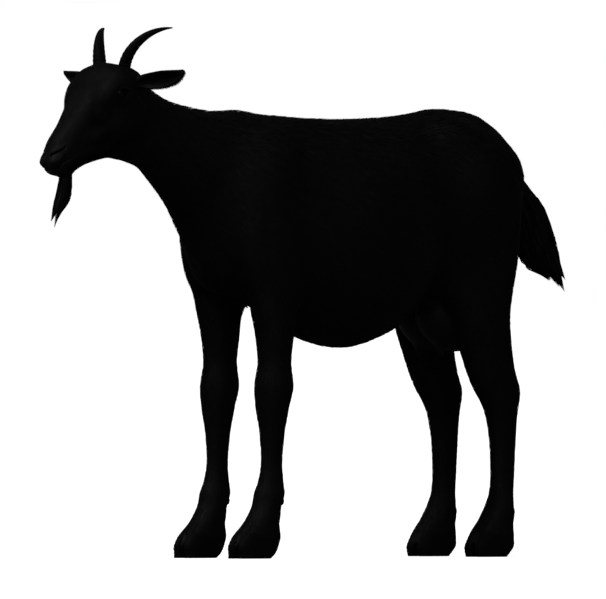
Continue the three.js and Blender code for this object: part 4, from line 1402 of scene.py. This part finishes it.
def make_beard(material):
    """Locks from under the chin that gather into two points."""
    rng = np.random.default_rng(21)
    angle = rng.uniform(0, 2 * math.pi, BEARD_LOCKS)
    far = np.sqrt(rng.uniform(0.1, 1.12, BEARD_LOCKS))
    a, b = far * np.cos(angle), far * np.sin(angle)
    tip = np.array(BEARD_POINTS)[np.where(b < 0.05, 0, 1)]
    top = 672.0 - 6.0 * b
    end = tip[:, 2] + 26 * rng.random(BEARD_LOCKS) ** 4
    t = np.linspace(0, 1, LOCK_RINGS + 1)
    z = top[:, None] + (end - top)[:, None] * t
    middle, half_depth, half_width = through(BEARD, z)
    x = a[:, None] * half_width
    y = middle + b[:, None] * half_depth
    share = 0.75 * np.clip((tip[:, 2:] + 34 - z) / 34, 0, 1)
    x += (tip[:, :1] - x) * share
    y += (tip[:, 1:2] + (z - tip[:, 2:]) * 0.45 - y) * share
    x += 0.8 * np.sin(z / 11 + angle[:, None] * 3)
    width = rng.uniform(1.8, 3.2, BEARD_LOCKS)
    long_locks("coat_beard", np.stack([x, y, z], 2), width, 22, material, "head", ["beard"])


def make_tail(material):
    """Locks that leave the dock all along it and hang back and down to ragged ends."""
    rng = np.random.default_rng(31)
    start = -12 + 158 * rng.random(TAIL_LOCKS) ** 0.75
    angle = rng.uniform(0, 2 * math.pi, TAIL_LOCKS)
    far = np.sqrt(rng.uniform(0.15, 1.06, TAIL_LOCKS))
    length = rng.uniform(60, 130, TAIL_LOCKS) * (0.7 + 0.3 * np.clip(start / 60, 0, 1))
    length += 60 * (rng.random(TAIL_LOCKS) < 0.45)
    ends = np.array(TAIL_ENDS)
    middle, half_depth, _ = through(TAIL, np.minimum(start + length, 205))
    place = middle + half_depth * far * np.cos(angle)
    stray = 12 * rng.random((TAIL_LOCKS, len(ends)))
    clump = ends[(np.abs(place[:, None] - ends[:, 1]) + stray).argmin(1)]
    end = np.minimum(start + length, clump[:, 0] + rng.uniform(-12, 3, TAIL_LOCKS))
    t = np.linspace(0, 1, LOCK_RINGS + 1)
    s = start[:, None] + (end - start)[:, None] * t
    middle, half_depth, half_width = through(TAIL, s)
    dock_middle, dock_depth, dock_width = through(DOCK, np.minimum(s, 140))
    free = np.clip((s - start[:, None]) / 45, 0, 1) ** 0.8
    reach = 0.75 + (far[:, None] - 0.75) * free
    depth = dock_depth * 0.9 * (1 - free) + half_depth * reach * free
    wide = dock_width * 0.9 * (1 - free) + half_width * reach * free
    up = dock_middle * (1 - free) + middle * free + depth * np.cos(angle)[:, None]
    x = wide * np.sin(angle)[:, None]
    gather = np.clip((s - clump[:, :1] + 50) / 50, 0, 1) ** 1.5 * 0.8
    up += (clump[:, 1:2] - up) * gather
    x += (clump[:, 2:] - x) * gather
    y = TAIL_ROOT[0] + s * TAIL_LINE[0] - up * TAIL_LINE[1]
    z = TAIL_ROOT[1] + s * TAIL_LINE[1] + up * TAIL_LINE[0]
    width = rng.uniform(2.0, 3.6, TAIL_LOCKS)
    long_locks("coat_tail", np.stack([x, y, z], 2), width, 32, material, "tail", ["tail"])


# ---------------------------------------------------------------- horns, claws and eyes


def round_angles(count):
    return np.linspace(0, 2 * math.pi, count, endpoint=False)


def from_rings(name, points, side, material, slot, node):
    """A closed piece from rings of points, which are those of its left twin."""
    rings, around = points.shape[:2]
    last = (rings - 1) * around
    faces = []
    for low in range(0, last, around):
        for i in range(around):
            j = (i + 1) % around
            faces.append([low + i, low + j, low + around + j, low + around + i])
    faces += [[*range(around)][::-1], [*range(last, last + around)]]
    if side == "right":
        faces = [face[::-1] for face in faces]
    points = points.reshape(-1, 3) * (SIDES[side], 1, 1)
    return from_faces(name, points, faces, material, slot, [node])


def make_grown(node, ending, points, side, material, length, girth):
    """A piece of horn, with a map in centimetres: round the piece, and along it."""
    rings, around = points.shape[:2]
    piece = from_rings(f"{node}_{ending}", points, side, material, "horn", node)
    vertex = np.zeros(len(piece.data.loops), np.int32)
    piece.data.loops.foreach_get("vertex_index", vertex)
    turn = np.abs(vertex % around - around / 2) / around * 2
    set_uv(piece, "grown", np.stack([turn * girth, vertex // around / (rings - 1) * length], 1))


def horn_points():
    rings, around = 72, 28
    t = np.concatenate([np.linspace(-0.03, 0.985, rings - 1), [1.0]])
    grown = np.clip(t, 0, 1)
    away = 1 - np.cos(grown * math.pi / 2)
    rise = HORN["rise"] * np.sin(grown * math.pi / 2) + np.minimum(t, 0) * 110
    out = HORN["x"] + HORN["out"] * away ** HORN["spread"]
    line = np.stack([out, HORN["y"] + HORN["back"] * away, HORN["z"] + rise], 1)
    way = unit(np.gradient(line, axis=0))
    keel_way = unit(np.array((1, -1, 0)))
    right = unit(keel_way - way * (way @ keel_way)[:, None])
    third = np.cross(right, way)
    waves = 0.035 * np.sin(grown * 88 + 2 * np.sin(grown * 9))
    ringed = 1 + waves * np.clip(1 - grown * 1.35, 0, 1)
    radius = (HORN_BASE * (1 - grown**HORN_TAPER) + HORN_TIP) * ringed
    radius[-1] = 0.15
    angle = round_angles(around)[None, :, None]
    keel = 1 + 0.07 * np.cos(angle - 0.4) ** 8
    spoke = right[:, None] * np.cos(angle) + third[:, None] * HORN_FLAT * np.sin(angle)
    return line[:, None] + spoke * radius[:, None, None] * keel


def make_horns(material):
    for side in SIDES:
        make_grown(f"horn_{side}", "grown", horn_points(), side, material, 11.0, 3.0)


def toes():
    """For each claw: its leg, place and side, and the way to it from the leg's middle."""
    for leg in LEGS:
        for place, step in (("inner", -1), ("outer", 1)):
            for side in SIDES:
                yield leg, place, side, step


def claw_points(rows, claw_x, coronet_y, inner):
    """Rings from the sole up to the coronet, with growth lines and a flat, bevelled sole."""
    rings, around = 22, 40
    angle = round_angles(around)
    bulge_x, bulge_y = (np.sign(c) * np.abs(c) ** (2 / 2.2) for c in (np.cos(angle), np.sin(angle)))
    across = bulge_x * np.where(bulge_x * inner > 0, 0.94, 1.0) * CLAW_HALF_WIDTH
    points = []
    for share in np.concatenate([[0.0], np.linspace(0.03, 1.0, rings - 1)]):
        z = np.full(around, share * CORONET["height"], np.float32)
        middle, half_depth = through(rows, z)
        z = z + share * CORONET["slope"] * (coronet_y - middle - half_depth * bulge_y)
        z = np.maximum(z, 0).astype(np.float32)
        middle, half_depth = through(rows, z)
        size = 0.965 if share == 0 else 1 + 0.01 * math.sin(share * 44)
        size *= 1 - 0.05 * np.clip((share - 0.85) / 0.15, 0, 1)
        y = middle + bulge_y * half_depth * size
        points.append(np.stack([claw_x + across * size, y, z], 1))
    return np.array(points)


def make_claws(material):
    for leg, place, side, step in toes():
        _, rows, leg_x = LEGS[leg]
        points = claw_points(rows, leg_x + step * CLAW_SPREAD, CORONET[leg], -step)
        make_grown(f"{leg}_{place}_claw_{side}", "horn", points, side, material, 4.0, 8.0)


def make_dewclaws(material):
    rings, around = 12, 18
    turn = math.pi * np.linspace(0.03, 0.97, rings)[:, None]
    angle = round_angles(around)
    radius = DEWCLAW["radius"] * np.sin(turn) ** 0.8 * (1 + 0.03 * np.sin(turn / math.pi * 40))
    x, y = radius * np.cos(angle), radius * 0.95 * np.sin(angle)
    z = -DEWCLAW["half_length"] * np.cos(turn)
    back = y * math.cos(DEWCLAW_LEAN) - z * math.sin(DEWCLAW_LEAN)
    up = y * math.sin(DEWCLAW_LEAN) + z * math.cos(DEWCLAW_LEAN)
    for leg, place, side, step in toes():
        rows, _, leg_x = LEGS[leg]
        middle, half_depth, _ = through(rows, np.float32(DEWCLAW[leg]))
        out = x + leg_x + step * DEWCLAW["spread"]
        points = np.stack([out, back + middle + half_depth - DEWCLAW_SUNK, up + DEWCLAW[leg]], 2)
        make_grown(f"{leg}_{place}_dewclaw_{side}", "horn", points, side, material, 2.0, 4.0)


def make_eyes(material):
    """Eyeballs whose gaze is out to the side, a little forward and up, with a raised cornea."""
    rings, around = 40, 56
    face_way = np.array((0, *FACE_LINE))
    face_up = np.array((0, FACE_LINE[1], -FACE_LINE[0]))
    centre = np.array((EYE["x"], *POLL)) + face_way * EYE["along"] + face_up * EYE["up"]
    axis = unit(np.array(GAZE))
    level = unit(np.cross((0, 0, 1), axis))
    upright = np.cross(axis, level)
    turn = math.pi * np.linspace(0.015, 0.985, rings)[:, None]
    angle = round_angles(around)
    ways = [-np.cos(turn) + 0 * angle, np.sin(turn) * np.cos(angle), np.sin(turn) * np.sin(angle)]
    ahead = ways[0] > 0
    cornea = 0.9 * np.maximum(1 - (EYE["radius"] * np.sin(turn) / 9.0) ** 2, 0) * ahead
    radius = (EYE["radius"] - 0.15 + cornea)[..., None]
    lines = zip(ways, (axis, level, upright))
    points = centre + radius * sum(way[..., None] * line for way, line in lines)
    gaze = [np.where(ahead, EYE["radius"] * way, BEHIND) for way in ways[1:]]
    for side in SIDES:
        piece = from_rings(f"eyeball_{side}", points, side, material, "eye", f"eye_{side}")
        set_attribute(piece, "gaze", np.stack([*gaze, ways[0]], 2), "FLOAT_VECTOR")


# ---------------------------------------------------------------- the goat

make_camera()
make_stage()
hair = hair_material()
skin = make_skin(skin_material())
make_coat(skin, hair)
make_beard(hair)
make_tail(hair)
make_horns(horn_material("horn", HORN_LIGHT, HORN_BANDS))
claw_horn = horn_material("claw", CLAW_LIGHT, CLAW_BANDS)
make_claws(claw_horn)
make_dewclaws(claw_horn)
make_eyes(eye_material())
